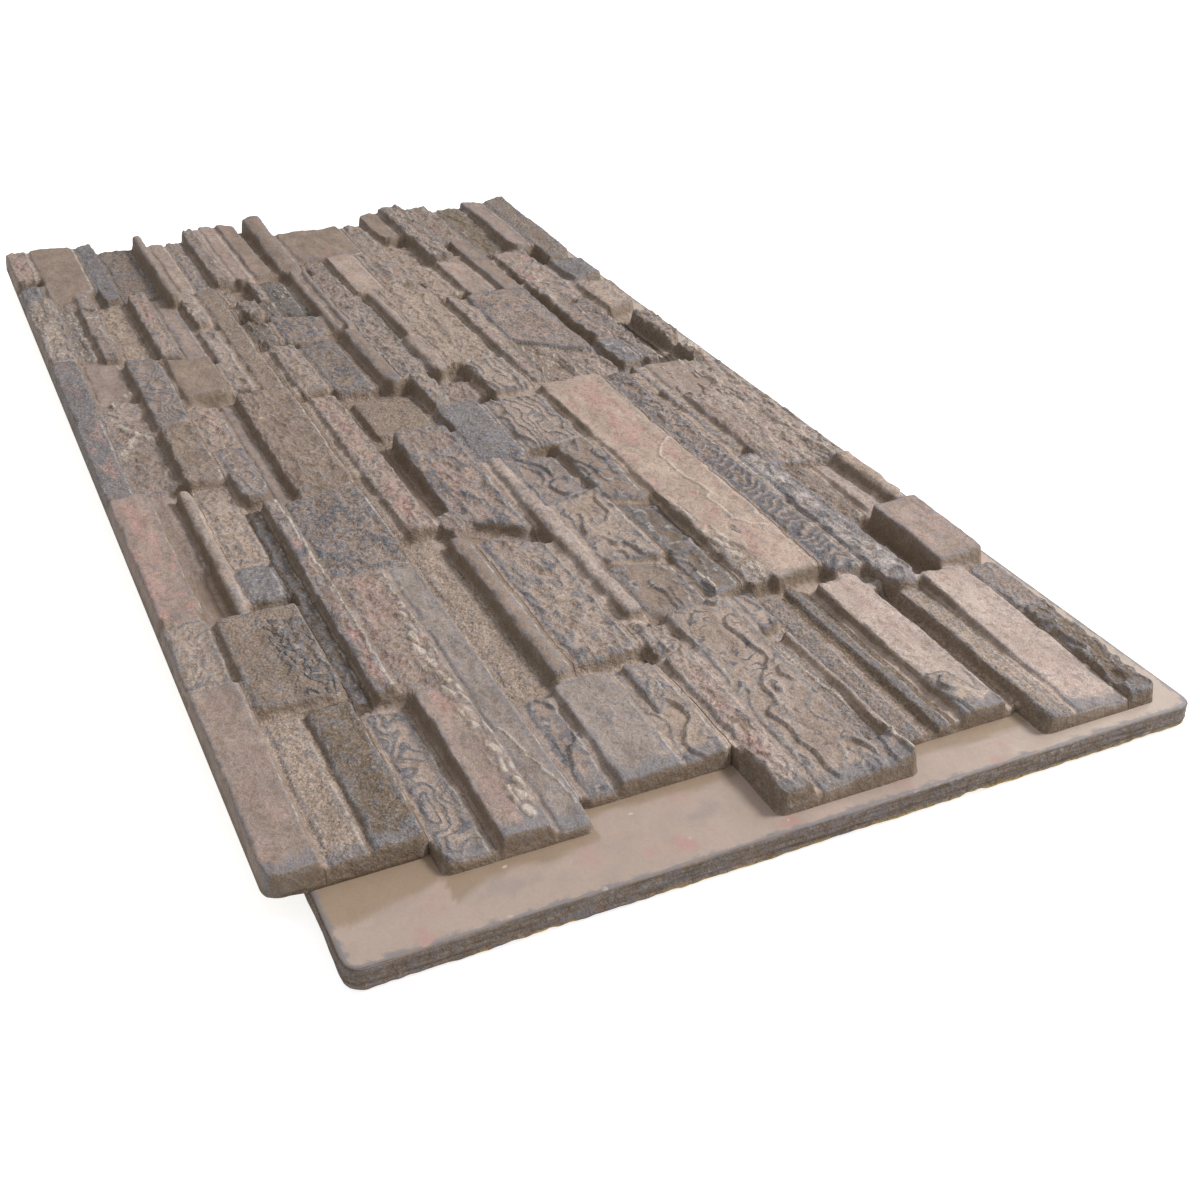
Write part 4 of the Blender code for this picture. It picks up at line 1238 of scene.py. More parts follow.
@dataclass(frozen=True)
class PaintedFoam:
    """Painted moulded polyurethane foam.

    A dead-matt acrylic coat over a closed foam skin: broad soft light with hardly any
    shine, a sandy tooth from the mould, and colour that changes from grain to grain.
    """

    name: str = "painted_moulded_polyurethane"
    roughness: float = 0.72
    specular: float = 0.35
    lump_mm: float = 6.0
    grain_mm: float = 2.4
    # Under two pixels of the frame even at the near end, so a finer tooth would hardly show
    tooth_mm: float = 1.0
    thread_mm: float = 26.0
    brush_mm: float = 7.0
    hook_mm: float = 13.0
    grit_mm: float = 2.2
    fleck_mm: float = 16.0
    patch_mm: float = 40.0
    swirl_mm: float = 15.0
    swirl_reach: float = 9.0
    satin: float = 0.4

    def build(self) -> bpy.types.Material:
        """Make the node material.

        Returns:
            The material.
        """
        material = bpy.data.materials.new(self.name)
        material.use_nodes = True
        tree = material.node_tree
        tree.nodes.clear()
        shares = self.read_shares(tree)
        patterns = self.lay_patterns(tree)
        self.combine(tree, shares, patterns)
        coat = add_node(tree, "ShaderNodeAttribute", attribute_name="tint").outputs["Color"]
        for row in COATS:
            amount = shaped(tree, patterns[row.pattern], row.low, row.high, row.most, shares[row.share])
            coat = add_node(tree, "ShaderNodeMix", {
                "Factor": amount, "A": coat, "B": (*linear(row.paint.value), 1.0),
            }, data_type="RGBA").outputs["Result"]
        off = add_node(tree, "ShaderNodeMath", {0: patterns["tooth"], 1: 0.5}, operation="SUBTRACT")
        tooth = add_node(tree, "ShaderNodeMath", {
            0: off.outputs[0], 1: shares["rough"],
        }, operation="MULTIPLY").outputs[0]
        shade = add_node(tree, "ShaderNodeMath", {0: tooth, 1: 1.25, 2: 1.0}, operation="MULTIPLY_ADD")
        coat = add_node(tree, "ShaderNodeVectorMath", {0: coat, "Scale": shade.outputs[0]}, operation="SCALE")
        # Heights in mm: tooth, then grain, lumps, hairlines, brush marks and grit by their shares
        height = add_node(tree, "ShaderNodeMath", {0: tooth, 1: 0.12}, operation="MULTIPLY").outputs[0]
        for pattern, share, most in (
            ("grain", "grain", 1.6), ("lump", "lump", 3.2), ("line", "thread", 0.35), ("brush", "lump", 1.2),
            ("grit", "sandy", -0.75),
        ):
            part = add_node(tree, "ShaderNodeMath", {
                0: patterns[pattern], 1: shares[share],
            }, operation="MULTIPLY")
            height = add_node(tree, "ShaderNodeMath", {
                0: part.outputs[0], 1: most, 2: height,
            }, operation="MULTIPLY_ADD").outputs[0]
        bump = add_node(tree, "ShaderNodeBump", {"Strength": 1.0, "Distance": MM, "Height": height})
        shader = add_node(tree, "ShaderNodeBsdfPrincipled", {
            "Base Color": coat.outputs[0], "Roughness": shares["sheen"], "Specular IOR Level": self.specular,
            "IOR": 1.49, "Normal": bump.outputs["Normal"],
        })
        add_node(tree, "ShaderNodeOutputMaterial", {"Surface": shader.outputs[0]})
        return material

    def read_shares(self, tree: bpy.types.NodeTree) -> dict[str, bpy.types.NodeSocket]:
        """Read the shares that the mesh carries, and what follows from them.

        Args:
            tree: The node tree.

        Returns:
            Shares by name.
        """
        shares = {}
        for layer, names in (
            ("texture", ("grain", "thread", "lump", "hooked")), ("wash", ("smoke", "slate", "pale")),
        ):
            read = add_node(tree, "ShaderNodeAttribute", attribute_name=layer)
            split = add_node(tree, "ShaderNodeSeparateColor", {"Color": read.outputs["Color"]})
            shares.update(zip(names, (*split.outputs, read.outputs["Alpha"])))
        for name, source, low, high, at_low, at_high in (
            ("sheen", "lump", 0.08, 0.25, self.satin, self.roughness),
            ("sandy", "grain", 0.6, 0.85, 0.0, 1.0),
            ("smooth", "lump", 0.08, 0.1, 1.0, 0.0),
            ("rough", "lump", 0.08, 0.3, 0.15, 1.0),
        ):
            shares[name] = add_node(tree, "ShaderNodeMapRange", {
                "Value": shares[source], "From Min": low, "From Max": high,
                "To Min": at_low, "To Max": at_high,
            }).outputs["Result"]
        return shares

    def lay_patterns(self, tree: bpy.types.NodeTree) -> dict[str, bpy.types.NodeSocket]:
        """Lay the noises and cells of the finish over the board.

        Args:
            tree: The node tree.

        Returns:
            Patterns by name.
        """
        coords = add_node(tree, "ShaderNodeTexCoord")
        place = add_node(tree, "ShaderNodeVectorMath", {
            0: coords.outputs["Object"], "Scale": 1.0 / MM,
        }, operation="SCALE").outputs[0]
        swirl = add_node(tree, "ShaderNodeTexNoise", {
            "Vector": place, "Scale": 1.0 / self.swirl_mm, "Detail": 1.0,
        }).outputs["Color"]
        bent = add_node(tree, "ShaderNodeVectorMath", {
            0: swirl, 1: (self.swirl_reach,) * 3, 2: place,
        }, operation="MULTIPLY_ADD").outputs[0]
        patterns = {}
        for name, size, detail, rough, vector in (
            ("lump", self.lump_mm, 2.0, 0.55, bent), ("grain", self.grain_mm, 3.0, 0.6, place),
            ("tooth", self.tooth_mm, 2.0, 0.5, place), ("thread", self.thread_mm, 5.0, 0.62, bent),
            ("patch", self.patch_mm, 2.0, 0.5, place), ("brush", self.brush_mm, 5.0, 0.72, bent),
            ("hook", self.hook_mm, 1.0, 0.5, bent), ("dash", self.hook_mm * 0.8, 1.0, 0.5, place),
        ):
            patterns[name] = add_node(tree, "ShaderNodeTexNoise", {
                "Vector": vector, "Scale": 1.0 / size, "Detail": detail, "Roughness": rough,
            }).outputs["Fac"]
        for name in ("thread", "hook"):
            off = add_node(tree, "ShaderNodeMath", {0: patterns[name], 1: 0.5}, operation="SUBTRACT")
            away = add_node(tree, "ShaderNodeMath", {0: off.outputs[0]}, operation="ABSOLUTE")
            patterns[name + "_off"] = away.outputs[0]
        grit = add_node(tree, "ShaderNodeTexVoronoi", {"Vector": place, "Scale": 1.0 / self.grit_mm})
        fleck = add_node(tree, "ShaderNodeTexVoronoi", {"Vector": bent, "Scale": 1.0 / self.fleck_mm})
        speck = add_node(tree, "ShaderNodeSeparateColor", {"Color": grit.outputs["Color"]})
        patterns["grit"], patterns["fleck"] = grit.outputs["Distance"], fleck.outputs["Distance"]
        patterns["speck"] = speck.outputs[0]
        return patterns

    def combine(
        self, tree: bpy.types.NodeTree, shares: dict[str, bpy.types.NodeSocket],
        patterns: dict[str, bpy.types.NodeSocket],
    ) -> None:
        """Add the shares and patterns that are made of others: hairlines, dashes and dabs.

        Args:
            tree: The node tree.
            shares: Shares by name, added to.
            patterns: Patterns by name, added to.
        """
        patchy = shaped(tree, patterns["patch"], 0.44, 0.58, 1.0, shares["thread"])
        patterns["line"] = shaped(tree, patterns["thread_off"], 0.013, 0.003, 1.0, patchy)
        shares["dashed"] = shaped(tree, patterns["dash"], 0.49, 0.57, 1.0, shares["hooked"])
        shares["open"] = shaped(tree, patterns["patch"], 0.5, 0.6, 1.0, shares["smooth"])
        for name, noise, reach in (
            ("smoke", "brush", 0.36), ("slate", "lump", 0.34), ("pale", "brush", 0.42),
        ):
            dab = add_node(tree, "ShaderNodeMath", {
                0: shares[name], 1: reach, 2: patterns[noise],
            }, operation="MULTIPLY_ADD")
            there = add_node(tree, "ShaderNodeMath", {0: shares[name], 1: 0.4}, operation="POWER")
            patterns[name + "_dab"], shares[name + "_dab"] = dab.outputs[0], there.outputs[0]


def add_node(tree: bpy.types.NodeTree, kind: str, inputs: dict | None = None, **settings) -> bpy.types.Node:
    """Add a node with its settings, values and links.

    Args:
        tree: The node tree.
        kind: The node's type name.
        inputs: Values or output sockets, by input name or index.
        **settings: Properties of the node itself.

    Returns:
        The node.
    """
    node = tree.nodes.new(kind)
    for name, value in settings.items():
        setattr(node, name, value)
    for name, value in (inputs or {}).items():
        found = [
            socket for index, socket in enumerate(node.inputs)
            if (index == name if isinstance(name, int) else socket.name == name) and socket.enabled
        ][0]
        if isinstance(value, bpy.types.NodeSocket):
            tree.links.new(value, found)
        else:
            found.default_value = value
    return node


def shaped(
    tree: bpy.types.NodeTree, value: bpy.types.NodeSocket, low: float, high: float, most: float,
    share: bpy.types.NodeSocket,
) -> bpy.types.NodeSocket:
    """Ease a pattern from 0 at low to most at high, and weigh it by a share.

    Args:
        tree: The node tree.
        value: The pattern.
        low: Where the result leaves 0. It may lie above high.
        high: Where the result reaches its most.
        most: The result's most.
        share: What weighs it.

    Returns:
        The weighed pattern.
    """
    eased = add_node(tree, "ShaderNodeMapRange", {
        "Value": value, "From Min": low, "From Max": high, "To Min": 0.0, "To Max": most,
    }, interpolation_type="SMOOTHSTEP").outputs["Result"]
    return add_node(tree, "ShaderNodeMath", {0: eased, 1: share}, operation="MULTIPLY").outputs[0]


def put(name: str, data: bpy.types.ID) -> bpy.types.Object:
    """Make an object of some data and link it to the scene.

    Args:
        name: The object's name.
        data: Its mesh, lamp or camera.

    Returns:
        The object.
    """
    made = bpy.data.objects.new(name, data)
    bpy.context.scene.collection.objects.link(made)
    return made


class ShellMesh:
    """A mesh gathered from parts, with paint, grain and a layout for the bake."""

    def __init__(self) -> None:
        """Start empty."""
        self.points: list[np.ndarray] = []
        self.faces: list[list[int]] = []
        self.places: list[tuple[float, float]] = []
        self.layers: dict[str, list[np.ndarray]] = {"tint": [], "texture": [], "wash": []}
        self.count = 0

    def add_points(
        self, points: np.ndarray, tint: np.ndarray, texture: np.ndarray, wash: np.ndarray,
    ) -> np.ndarray:
        """Add points.

        Args:
            points: Places in mm, one row each.
            tint: Linear colours, one row each.
            texture: Shares of grain, threads, lumps and hooked lines, one row each.
            wash: Shares of smoke, slate, and pale dry-brush with painted highlights, one row each.

        Returns:
            Their numbers in the mesh.
        """
        numbers = self.count + np.arange(len(points))
        self.points.append(points)
        for name, shares in (("tint", tint), ("texture", texture), ("wash", wash)):
            self.layers[name].append(shares)
        self.count += len(points)
        return numbers

    def add_face(self, corners: Iterable[int], places: Iterable[tuple[float, float]]) -> None:
        """Add a face by its points, with a layout place for each."""
        self.faces.append([int(corner) for corner in corners])
        self.places += places

    def build(self, name: str, shift: np.ndarray, material: bpy.types.Material) -> bpy.types.Object:
        """Make the object.

        Args:
            name: Its name.
            shift: What turns board places into the frame's, in mm.
            material: Its finish.

        Returns:
            The object, in the scene.
        """
        mesh = bpy.data.meshes.new(name)
        points = (np.concatenate(self.points) + shift) * MM
        mesh.from_pydata(points.tolist(), [], self.faces)
        layout = mesh.uv_layers.new(name="OFBake")
        layout.data.foreach_set("uv", np.array(self.places, np.float32).ravel())
        for layer_name, shares in self.layers.items():
            full = np.concatenate(shares)
            full = np.concatenate([full, np.ones((len(full), 1))], axis=1)[:, :4]
            layer = mesh.attributes.new(layer_name, "FLOAT_COLOR", "POINT")
            layer.data.foreach_set("color", full.astype(np.float32).ravel())
        mesh.polygons.foreach_set("use_smooth", [len(face) <= 4 for face in self.faces])
        mesh.materials.append(material)
        mesh.update()
        made = put(name, mesh)
        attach(made, "root")
        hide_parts("stone_panel")
        return made


@dataclass
class StoneBand:
    """One band of the moulded face as a closed shell."""

    number: int
    band: Band
    relief: FaceRelief
    colours: np.ndarray
    washes: np.ndarray
    root: float = 16.6
    end_inset: float = 0.35
    side_inset: float = 0.9
    side_span: float = 3.0
    face_height: float = 0.86
    strips_from: float = 0.875
    strip_height: float = 0.018
    strip_step: float = 0.022
    ends_from: float = 0.982
    end_height: float = 0.006
    end_step: float = 0.008

    def build(self, shift: np.ndarray, material: bpy.types.Material) -> bpy.types.Object:
        """Make the band's object.

        Args:
            shift: What turns board places into the frame's, in mm.
            material: Its finish.

        Returns:
            The object.
        """
        relief, band = self.relief, self.band
        ends = [int(np.argmin(abs(relief.rows - end))) for end in (band.far, band.near)]
        sides = [int(np.argmin(abs(relief.columns - side))) for side in (band.left, band.right)]
        part = (slice(ends[0], ends[1] + 1), slice(sides[0], sides[1] + 1))
        x, y, z = relief.x[part], relief.y[part], relief.height[part]
        x = x.clip(min=BAND_1.far + self.end_inset)
        if band is BAND_1:
            drawn_in = self.side_inset + y * (1.0 - self.side_inset / self.side_span)
            y = np.where(y < self.side_span, drawn_in, y)
        shell = ShellMesh()
        index = shell.add_points(
            np.stack([x, y, z], axis=-1).reshape(-1, 3),
            self.colours[part].reshape(-1, 3),
            relief.texture[part].reshape(-1, 4),
            self.washes[part].reshape(-1, 3),
        ).reshape(x.shape)
        u, v = self.spread(x, z, 0), self.spread(y, z, 1) * self.face_height
        quads = np.stack([index[:-1, :-1], index[1:, :-1], index[1:, 1:], index[:-1, 1:]], axis=-1)
        shell.faces += quads.reshape(-1, 4).tolist()
        flat = np.stack(np.meshgrid(u, v, indexing="ij"), axis=-1).reshape(-1, 2)
        shell.places += [tuple(flat[corner]) for corner in quads.reshape(-1)]
        self.close(shell, x, y, index, u)
        return shell.build(f"band_{self.number}_stones", shift, material)

    def spread(self, place: np.ndarray, z: np.ndarray, axis: int) -> np.ndarray:
        """Spread samples from 0.01 to 0.99 by their mean length over the relief.

        Args:
            place: Board places along the axis.
            z: Heights.
            axis: 0 along the rows, 1 along the columns.

        Returns:
            One share per sample.
        """
        step = np.hypot(np.diff(place, axis=axis), np.diff(z, axis=axis)).mean(axis=1 - axis)
        total = np.concatenate([[0.0], np.cumsum(step)])
        return 0.01 + 0.98 * total / total[-1]

    def close(self, shell: ShellMesh, x: np.ndarray, y: np.ndarray, index: np.ndarray, u: np.ndarray) -> None:
        """Close the shell below with its sides, ends and underside.

        Args:
            shell: The shell so far.
            x: Board X of the face's samples.
            y: Board Y of the face's samples.
            index: Point numbers of the face's samples.
            u: Layout places of the rows.
        """
        rows = x.shape[0]
        across = [y[:, 0], y[:, -1]]
        if self.band is BAND_1:
            # Between these two lines the underside steps from over the lap down into the plate
            across[1:1] = [np.full(rows, PLATE_LEFT + 0.2), np.full(rows, PLATE_LEFT + 0.8)]
        lines = []
        for place in across:
            lapped = (x[:, 0] < PLATE_FAR + 0.4) | (place < PLATE_LEFT + 0.4)
            points = np.stack([x[:, 0], place, np.where(lapped, LAP_HEIGHT, self.root)], axis=-1)
            tint = np.tile(linear(Paint.FOAM.value), (rows, 1))
            texture = np.tile((0.3, 0.0, 0.3, 0.0), (rows, 1))
            lines.append(shell.add_points(points, tint, texture, np.zeros((rows, 3))))
        strips = [(lines[0], index[:, 0]), (index[:, -1], lines[-1])]
        strips += [(lines[at + 1], lines[at]) for at in range(len(lines) - 1)]
        for number, (low, high) in enumerate(strips):
            base = self.strips_from + self.strip_step * number
            top = base + self.strip_height
            for row in range(rows - 1):
                shell.add_face(
                    (low[row], low[row + 1], high[row + 1], high[row]),
                    [(u[row], base), (u[row + 1], base), (u[row + 1], top), (u[row], top)],
                )
        for number, row in enumerate((0, -1)):
            loop = list(index[row]) + [line[row] for line in reversed(lines)]
            base = self.ends_from + self.end_step * number
            top = base + self.end_height
            places = [(0.05 + 0.9 * share, top) for share in np.linspace(0, 1, index.shape[1])]
            places += [(0.95 - 0.9 * share, base) for share in np.linspace(0, 1, len(lines))]
            if row == -1:
                loop.reverse()
                places.reverse()
            shell.add_face(loop, places)


@dataclass
class BackingPlate:
    """The plate with its flange and tongue, worn upper edge and ragged lower edge."""

    far: float = PLATE_FAR
    near: float = PLATE_NEAR
    left: float = PLATE_LEFT
    right: float = PLATE_RIGHT
    top: float = PLATE_TOP
    corner: float = 12.0
    far_corner: float = 2.0
    least_corner: float = 0.6
    middle_x: float = 600.0
    middle_y: float = 300.0
    step: float = 2.5
    hidden: float = 84.0
    seed: int = 41

    def arc(self, corner: tuple[float, float, float, float], inset: float) -> tuple[float, float, float]:
        """Place one corner's arc, in from the plate's outline.

        Args:
            corner: Board X and Y of the corner, its radius and the direction it starts in.
            inset: Distance in from the outline in mm.

        Returns:
            Board X and Y of the arc's middle, and its radius.
        """
        x, y, radius, _ = corner
        back = radius + max(inset - radius + self.least_corner, 0.0)
        middle_x = x - math.copysign(back, x - self.middle_x)
        middle_y = y - math.copysign(back, y - self.middle_y)
        return middle_x, middle_y, max(radius - inset, self.least_corner)

    def ring(self, inset: float) -> tuple[np.ndarray, np.ndarray]:
        """Points round the plate, in from its outline.

        Args:
            inset: Distance in from the outline in mm.

        Returns:
            The points and their outward directions.
        """
        corners = (
            (self.near, self.left, self.corner, -90.0), (self.near, self.right, self.corner, 0.0),
            (self.far, self.right, self.far_corner, 90.0), (self.far, self.left, self.far_corner, 180.0),
        )
        points, outward = [], []
        for number, corner in enumerate(corners):
            x, y, radius = self.arc(corner, inset)
            for share in np.linspace(0.0, 1.0, 9):
                angle = math.radians(corner[3] + 90.0 * share)
                outward.append((math.cos(angle), math.sin(angle)))
                points.append((x + radius * math.cos(angle), y + radius * math.sin(angle)))
            length = self.right - self.left if number % 2 == 0 else self.near - self.far
            count = round(length / (self.step if number != 2 else 2 * self.step))
            x, y, radius = self.arc(corners[(number + 1) % 4], inset)
            away = outward[-1]
            begin, stop = points[-1], (x + radius * away[0], y + radius * away[1])
            for share in np.linspace(0.0, 1.0, count + 1)[1:-1]:
                outward.append(away)
                points.append(tuple(low + (high - low) * share for low, high in zip(begin, stop)))
        return np.array(points), np.array(outward)

    def levels(self) -> list[tuple[float, float]]:
        """The rings from the middle of the upper face over the edge to the back.

        Returns:
            The inset and the height of each ring in mm.
        """
        rings = [(self.hidden, self.top)] + [(inset, self.top) for inset in np.arange(78.0, 4.0, -3.5)]
        rings += [(3.0, self.top), (1.9, self.top - 0.3), (1.05, self.top - 0.8), (0.45, self.top - 1.6)]
        rings += [(0.1, self.top - 2.6)] + [(0.0, level) for level in np.arange(14.0, 3.2, -0.9)]
        return rings + [(0.1, 2.8), (0.6, 2.1), (1.5, 1.7), (4.5, 1.3), (6.5, 0.3), (7.0, 0.0), (30.0, 0.0)]

    def build(self, shift: np.ndarray, material: bpy.types.Material) -> bpy.types.Object:
        """Make the plate's object.

        Args:
            shift: What turns board places into the frame's, in mm.
            material: Its finish.

        Returns:
            The object.
        """
        noise = Noise(self.seed)
        shell = ShellMesh()
        levels = self.levels()
        length = len(self.ring(0.0)[0])
        around = np.arange(length) * self.step
        lip = 2.6 * ramp(noise.fractal(around / 40.0, np.full(length, 3.3), 3), -0.1, 0.9)
        lip = lip + 0.7 * noise.fractal(around / 9.0, np.full(length, 7.7), 2) - 0.5
        lines = []
        for inset, level in levels:
            ring, outward = self.ring(inset)
            side = ramp(level, self.top - 0.1, self.top - 2.5)
            z = np.full(length, level)
            if level > 0.0:
                groove = noise.fractal(around / 44.0, np.full(length, level / 1.9), 3)
                push = side * (1.1 * groove - 1.0) * ramp(level, 0.2, 1.5)
                ring = ring + outward * np.minimum(push, 0.0)[:, None]
                z = z + ramp(level, 6.5, 2.4) * lip * ramp(level, 0.2, 1.4)
            if level >= self.top:
                z = z - 0.25 * ramp(noise.fractal(ring[:, 0] / 30.0, ring[:, 1] / 30.0, 2), -0.2, 0.8)
            points = np.concatenate([ring, z.clip(0.0, self.top)[:, None]], axis=1)
            tint, wash = self.paint(noise, ring, around, inset, level)
            texture = np.tile((0.03 + 0.5 * side, 0.05, 0.07 + 0.8 * side, 0.0), (length, 1))
            lines.append(shell.add_points(points, tint, texture, wash))
        heights = [0.0]
        for before, after in zip(levels[:-1], levels[1:]):
            heights.append(heights[-1] + max(0.8, math.dist(before, after)))
        v = 0.02 + 0.9 * np.array(heights) / heights[-1]
        u = np.linspace(0.01, 0.99, length + 1)
        for number, (low, high) in enumerate(zip(lines[:-1], lines[1:])):
            base, top = v[number], v[number + 1]
            for at in range(length):
                after = (at + 1) % length
                shell.add_face(
                    (low[at], high[at], high[after], low[after]),
                    [(u[at], base), (u[at], top), (u[at + 1], top), (u[at + 1], base)],
                )
        for line, base, turned in ((lines[0], 0.94, False), (lines[-1], 0.97, True)):
            flat = np.concatenate(shell.points)[line][:, :2]
            low, high = flat.min(axis=0), flat.max(axis=0)
            places = (flat - low) / (high - low) * (0.9, 0.02) + (0.05, base)
            order = range(length - 1, -1, -1) if turned else range(length)
            shell.add_face([line[at] for at in order], [tuple(places[at]) for at in order])
        return shell.build("backing_plate", shift, material)

    def paint(
        self, noise: Noise, ring: np.ndarray, around: np.ndarray, inset: float, level: float,
    ) -> tuple[np.ndarray, np.ndarray]:
        """Mix the paint of one ring of the plate.

        Args:
            noise: The plate's noise.
            ring: Board X and Y of the points.
            around: Place round the outline in mm.
            inset: Distance in from the outline.
            level: The ring's height before its breaks.

        Returns:
            Linear base colours, with painted light and shade on the flange, and shares of smoke, slate and
            pale dry-brush.
        """
        x, y = ring[:, 0], ring[:, 1]
        count = len(x)
        wash = np.zeros((count, 3))
        if level <= 1.4:
            return np.tile(linear(Paint.FOAM.value), (count, 1)), wash
        colour = np.tile(linear(Paint.TAN.value), (count, 1))
        cloud = noise.fractal(x / 60.0, y / 60.0, 3)
        colour = colour * (0.99 + 0.09 * cloud)[:, None]
        colour = lay(colour, Paint.ROSE, 0.4 * ramp(noise.fractal(x / 34.0, y / 34.0 + 9.0, 3), 0.1, 0.6))
        # Cream towards the right and beige towards the left are painted light: the flange is painted lighter
        # on the side the light comes from
        colour = lay(colour, Paint.CREAM, 0.4 * ramp(y, 430.0, 560.0))
        colour = lay(colour, Paint.BEIGE, 0.4 * ramp(y, 420.0, 120.0))
        colour = lay(colour, Paint.SMOKE, 0.16 * ramp(noise.fractal(x / 26.0 + 5.0, y / 30.0, 3), 0.0, 0.6))
        for stain in FLANGE_STAINS:
            away = np.hypot((x - stain.x) / stain.long, (y - stain.y) / stain.wide)
            spot = ramp(away + 0.8 * noise.fractal(x / 9.0, y / 9.0, 2), 1.2, 0.2)
            colour = lay(colour, stain.paint, stain.share * spot)
        if level >= self.top:
            # Khaki and ochre in a band on the flange beyond the stones' ends are painted shade and a painted
            # reflection of the stones
            ends = band_near(y)
            reach = 13.0 + 20.0 * ramp(y, 150.0, 45.0) + 9.0 * cloud
            painted_shade_and_reflection = ramp(x - ends, reach, reach - 6.0) * ramp(PLATE_NEAR - ends, 20.0, 45.0)
            colour = lay(lay(colour, Paint.KHAKI, 0.6 * painted_shade_and_reflection), Paint.OCHRE, 0.35 * painted_shade_and_reflection)
            wash[:, 0] = ramp(inset + 2.0 * noise.fractal(around / 16.0, np.zeros(count), 3), 5.5, 2.6)
            return colour, wash
        streak = noise.fractal(around / 44.0, np.full(count, level / 1.8 + inset / 2.0), 4)
        seam = noise.fractal(around / 90.0, np.full(count, level / 1.3), 2)
        colour = lay(colour, Paint.BARK, np.full(count, 0.75))
        colour = lay(colour, Paint.IRON, ramp(-streak, 0.0, 0.6) * 0.5)
        colour = lay(colour, Paint.UMBER, ramp(seam, 0.0, 0.4) * 0.6)
        colour = lay(colour, Paint.ROSE, ramp(level, 9.0, 4.0) * ramp(streak, -0.1, 0.5) * 0.5)
        # Raw foam shows along the lower lip where the paint did not reach
        spill = ramp(noise.fractal(around / 26.0, np.full(count, 5.5), 2) + (y - 260.0) / 500.0, -0.2, 0.15)
        unpainted = spill * ramp(level, 5.2, 3.6)
        colour = lay(colour, Paint.OCHRE, unpainted)
        colour = lay(colour, Paint.FOAM, spill * ramp(level, 4.2, 3.0))
        dry = 1.0 - unpainted
        wash[:, 0] = (0.1 + 0.55 * ramp(streak, 0.0, 0.5)) * dry
        wash[:, 1] = 0.25 * ramp(-seam, 0.1, 0.5) * dry
        wash[:, 2] = 0.3 * ramp(-seam, 0.3, 0.6) * dry * ramp(y, 250.0, 600.0)
        return colour, wash


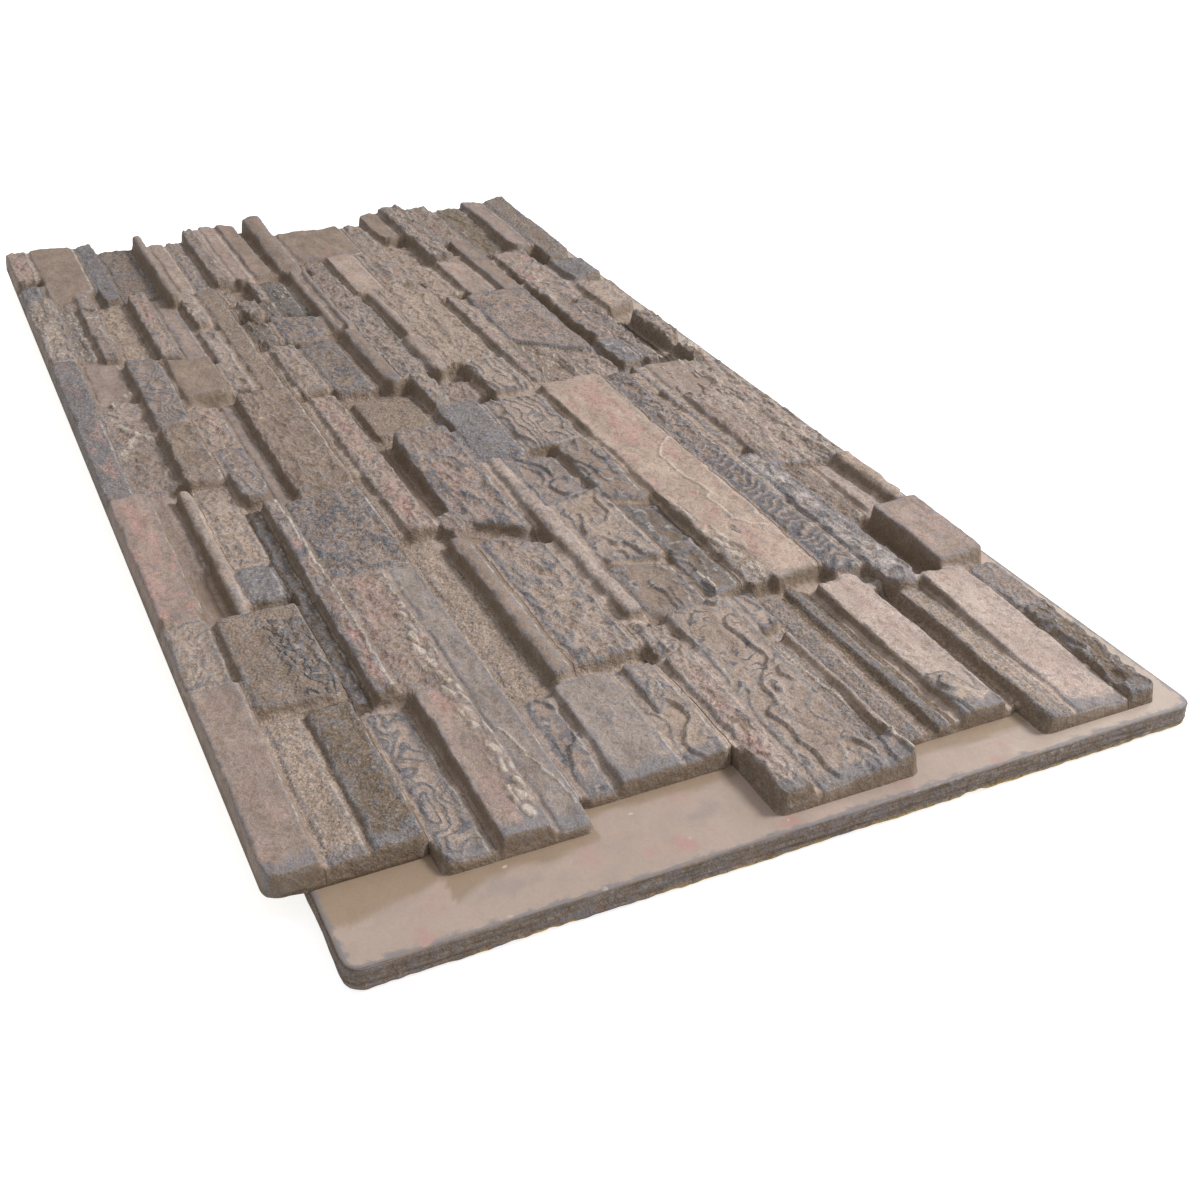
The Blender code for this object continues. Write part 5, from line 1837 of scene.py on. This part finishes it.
@dataclass
class Studio:
    """The floor, the lamps, the world and the camera."""

    board_shift: np.ndarray
    camera_place: tuple[float, float, float] = (1806.3, -101.6, 604.8)
    pitch: float = 31.31
    yaw: float = 25.05
    focal: float = 46.035
    floor_span: float = 30.0
    floor_grey: float = 0.62
    floor_glow: float = 0.8
    world: float = 0.48
    key: float = 1.95
    key_degrees: float = 14.0
    key_from: tuple[float, float, float] = (0.2, 1.0, 1.05)
    side_watts: float = 4.2
    side_size: float = 0.7
    side_place: tuple[float, float, float] = (950.0, 1300.0, 700.0)
    side_from: tuple[float, float, float] = (-0.1, 0.8, 0.7)

    def build(self) -> None:
        """Set up everything round the board."""
        self.floor()
        self.lights()
        self.camera()
        bpy.context.scene.view_settings.view_transform = "Standard"

    def placed(self, place: tuple[float, float, float]) -> Vector:
        """Turn a board place in mm into the frame's in metres."""
        return (Vector(place) + Vector(self.board_shift)) * MM

    def floor(self) -> None:
        """A plain pale floor that reads as white and keeps the shadow."""
        mesh = bpy.data.meshes.new("studio_floor")
        span = self.floor_span
        corners = [(-span, -span, 0), (span, -span, 0), (span, span, 0), (-span, span, 0)]
        mesh.from_pydata(corners, [], [(0, 1, 2, 3)])
        floor = put("studio_floor", mesh)
        floor.location.z = -0.0004
        material = bpy.data.materials.new("white_sweep")
        material.use_nodes = True
        tree = material.node_tree
        shader = tree.nodes["Principled BSDF"]
        shader.inputs["Base Color"].default_value = (*(self.floor_grey,) * 3, 1.0)
        shader.inputs["Roughness"].default_value = 0.9
        shader.inputs["Emission Color"].default_value = (1.0, 1.0, 1.0, 1.0)
        path = add_node(tree, "ShaderNodeLightPath")
        seen = add_node(tree, "ShaderNodeMath", {
            0: path.outputs["Is Camera Ray"], 1: path.outputs["Is Glossy Ray"],
        }, operation="MAXIMUM")
        glow = add_node(tree, "ShaderNodeMath", {
            0: seen.outputs[0], 1: self.floor_glow,
        }, operation="MULTIPLY")
        tree.links.new(glow.outputs[0], shader.inputs["Emission Strength"])
        mesh.materials.append(material)

    def lights(self) -> None:
        """A soft overhead world, one broad key from the right and a panel that fills that side."""
        world = bpy.data.worlds.new("studio")
        bpy.context.scene.world = world
        world.use_nodes = True
        tree = world.node_tree
        back = tree.nodes["Background"]
        back.inputs["Color"].default_value = (1.0, 1.0, 1.0, 1.0)
        path = add_node(tree, "ShaderNodeLightPath")
        level = add_node(tree, "ShaderNodeMapRange", {
            "Value": path.outputs["Is Camera Ray"], "To Min": self.world,
        })
        tree.links.new(level.outputs["Result"], back.inputs["Strength"])
        sun = bpy.data.lights.new("key", "SUN")
        sun.energy, sun.angle = self.key, math.radians(self.key_degrees)
        panel = bpy.data.lights.new("side", "AREA")
        panel.energy, panel.size = self.side_watts, self.side_size
        key, side = put("key", sun), put("side", panel)
        side.location = self.placed(self.side_place)
        for lamp, toward in ((key, self.key_from), (side, self.side_from)):
            lamp.rotation_mode = "QUATERNION"
            lamp.rotation_quaternion = Vector(toward).to_track_quat("Z", "Y")

    def camera(self) -> None:
        """The camera at the photograph's viewing angle."""
        data = bpy.data.cameras.new("camera")
        data.sensor_width = 36.0
        data.lens = self.focal
        data.clip_end = 60.0
        yaw, pitch = math.radians(self.yaw), math.radians(self.pitch)
        ahead = Vector((-math.cos(yaw), math.sin(yaw), 0.0))
        right = Vector((math.sin(yaw), math.cos(yaw), 0.0))
        look = ahead * math.cos(pitch) - Vector((0.0, 0.0, math.sin(pitch)))
        up = right.cross(look)
        place = self.placed(self.camera_place)
        camera = put("camera", data)
        camera.matrix_world = Matrix((
            (right.x, up.x, -look.x, place.x),
            (right.y, up.y, -look.y, place.y),
            (right.z, up.z, -look.z, place.z),
            (0.0, 0.0, 0.0, 1.0),
        ))
        bpy.context.scene.camera = camera


def main() -> None:
    """Dress the board, light it and note its size."""
    logging.basicConfig(level=logging.INFO, format="%(message)s")
    _, high = cad_box
    shift = np.array([high.x / MM - PLATE_NEAR, high.y / MM - PLATE_RIGHT, 0.0])
    relief = FaceRelief()
    relief.place_stones()
    relief.soften()
    painter = FacePainter(relief)
    colours, washes = painter.colours(), painter.washes()
    log.info("relief: %d rows by %d columns", len(relief.rows), len(relief.columns))
    material = PaintedFoam().build()
    for number, band in enumerate(BANDS, start=1):
        made = StoneBand(number, band, relief, colours, washes).build(shift, material)
        log.info("%s: %d faces", made.name, len(made.data.polygons))
    plate = BackingPlate().build(shift, material)
    log.info("%s: %d faces", plate.name, len(plate.data.polygons))
    Studio(shift).build()


if __name__ == "__main__":
    main()
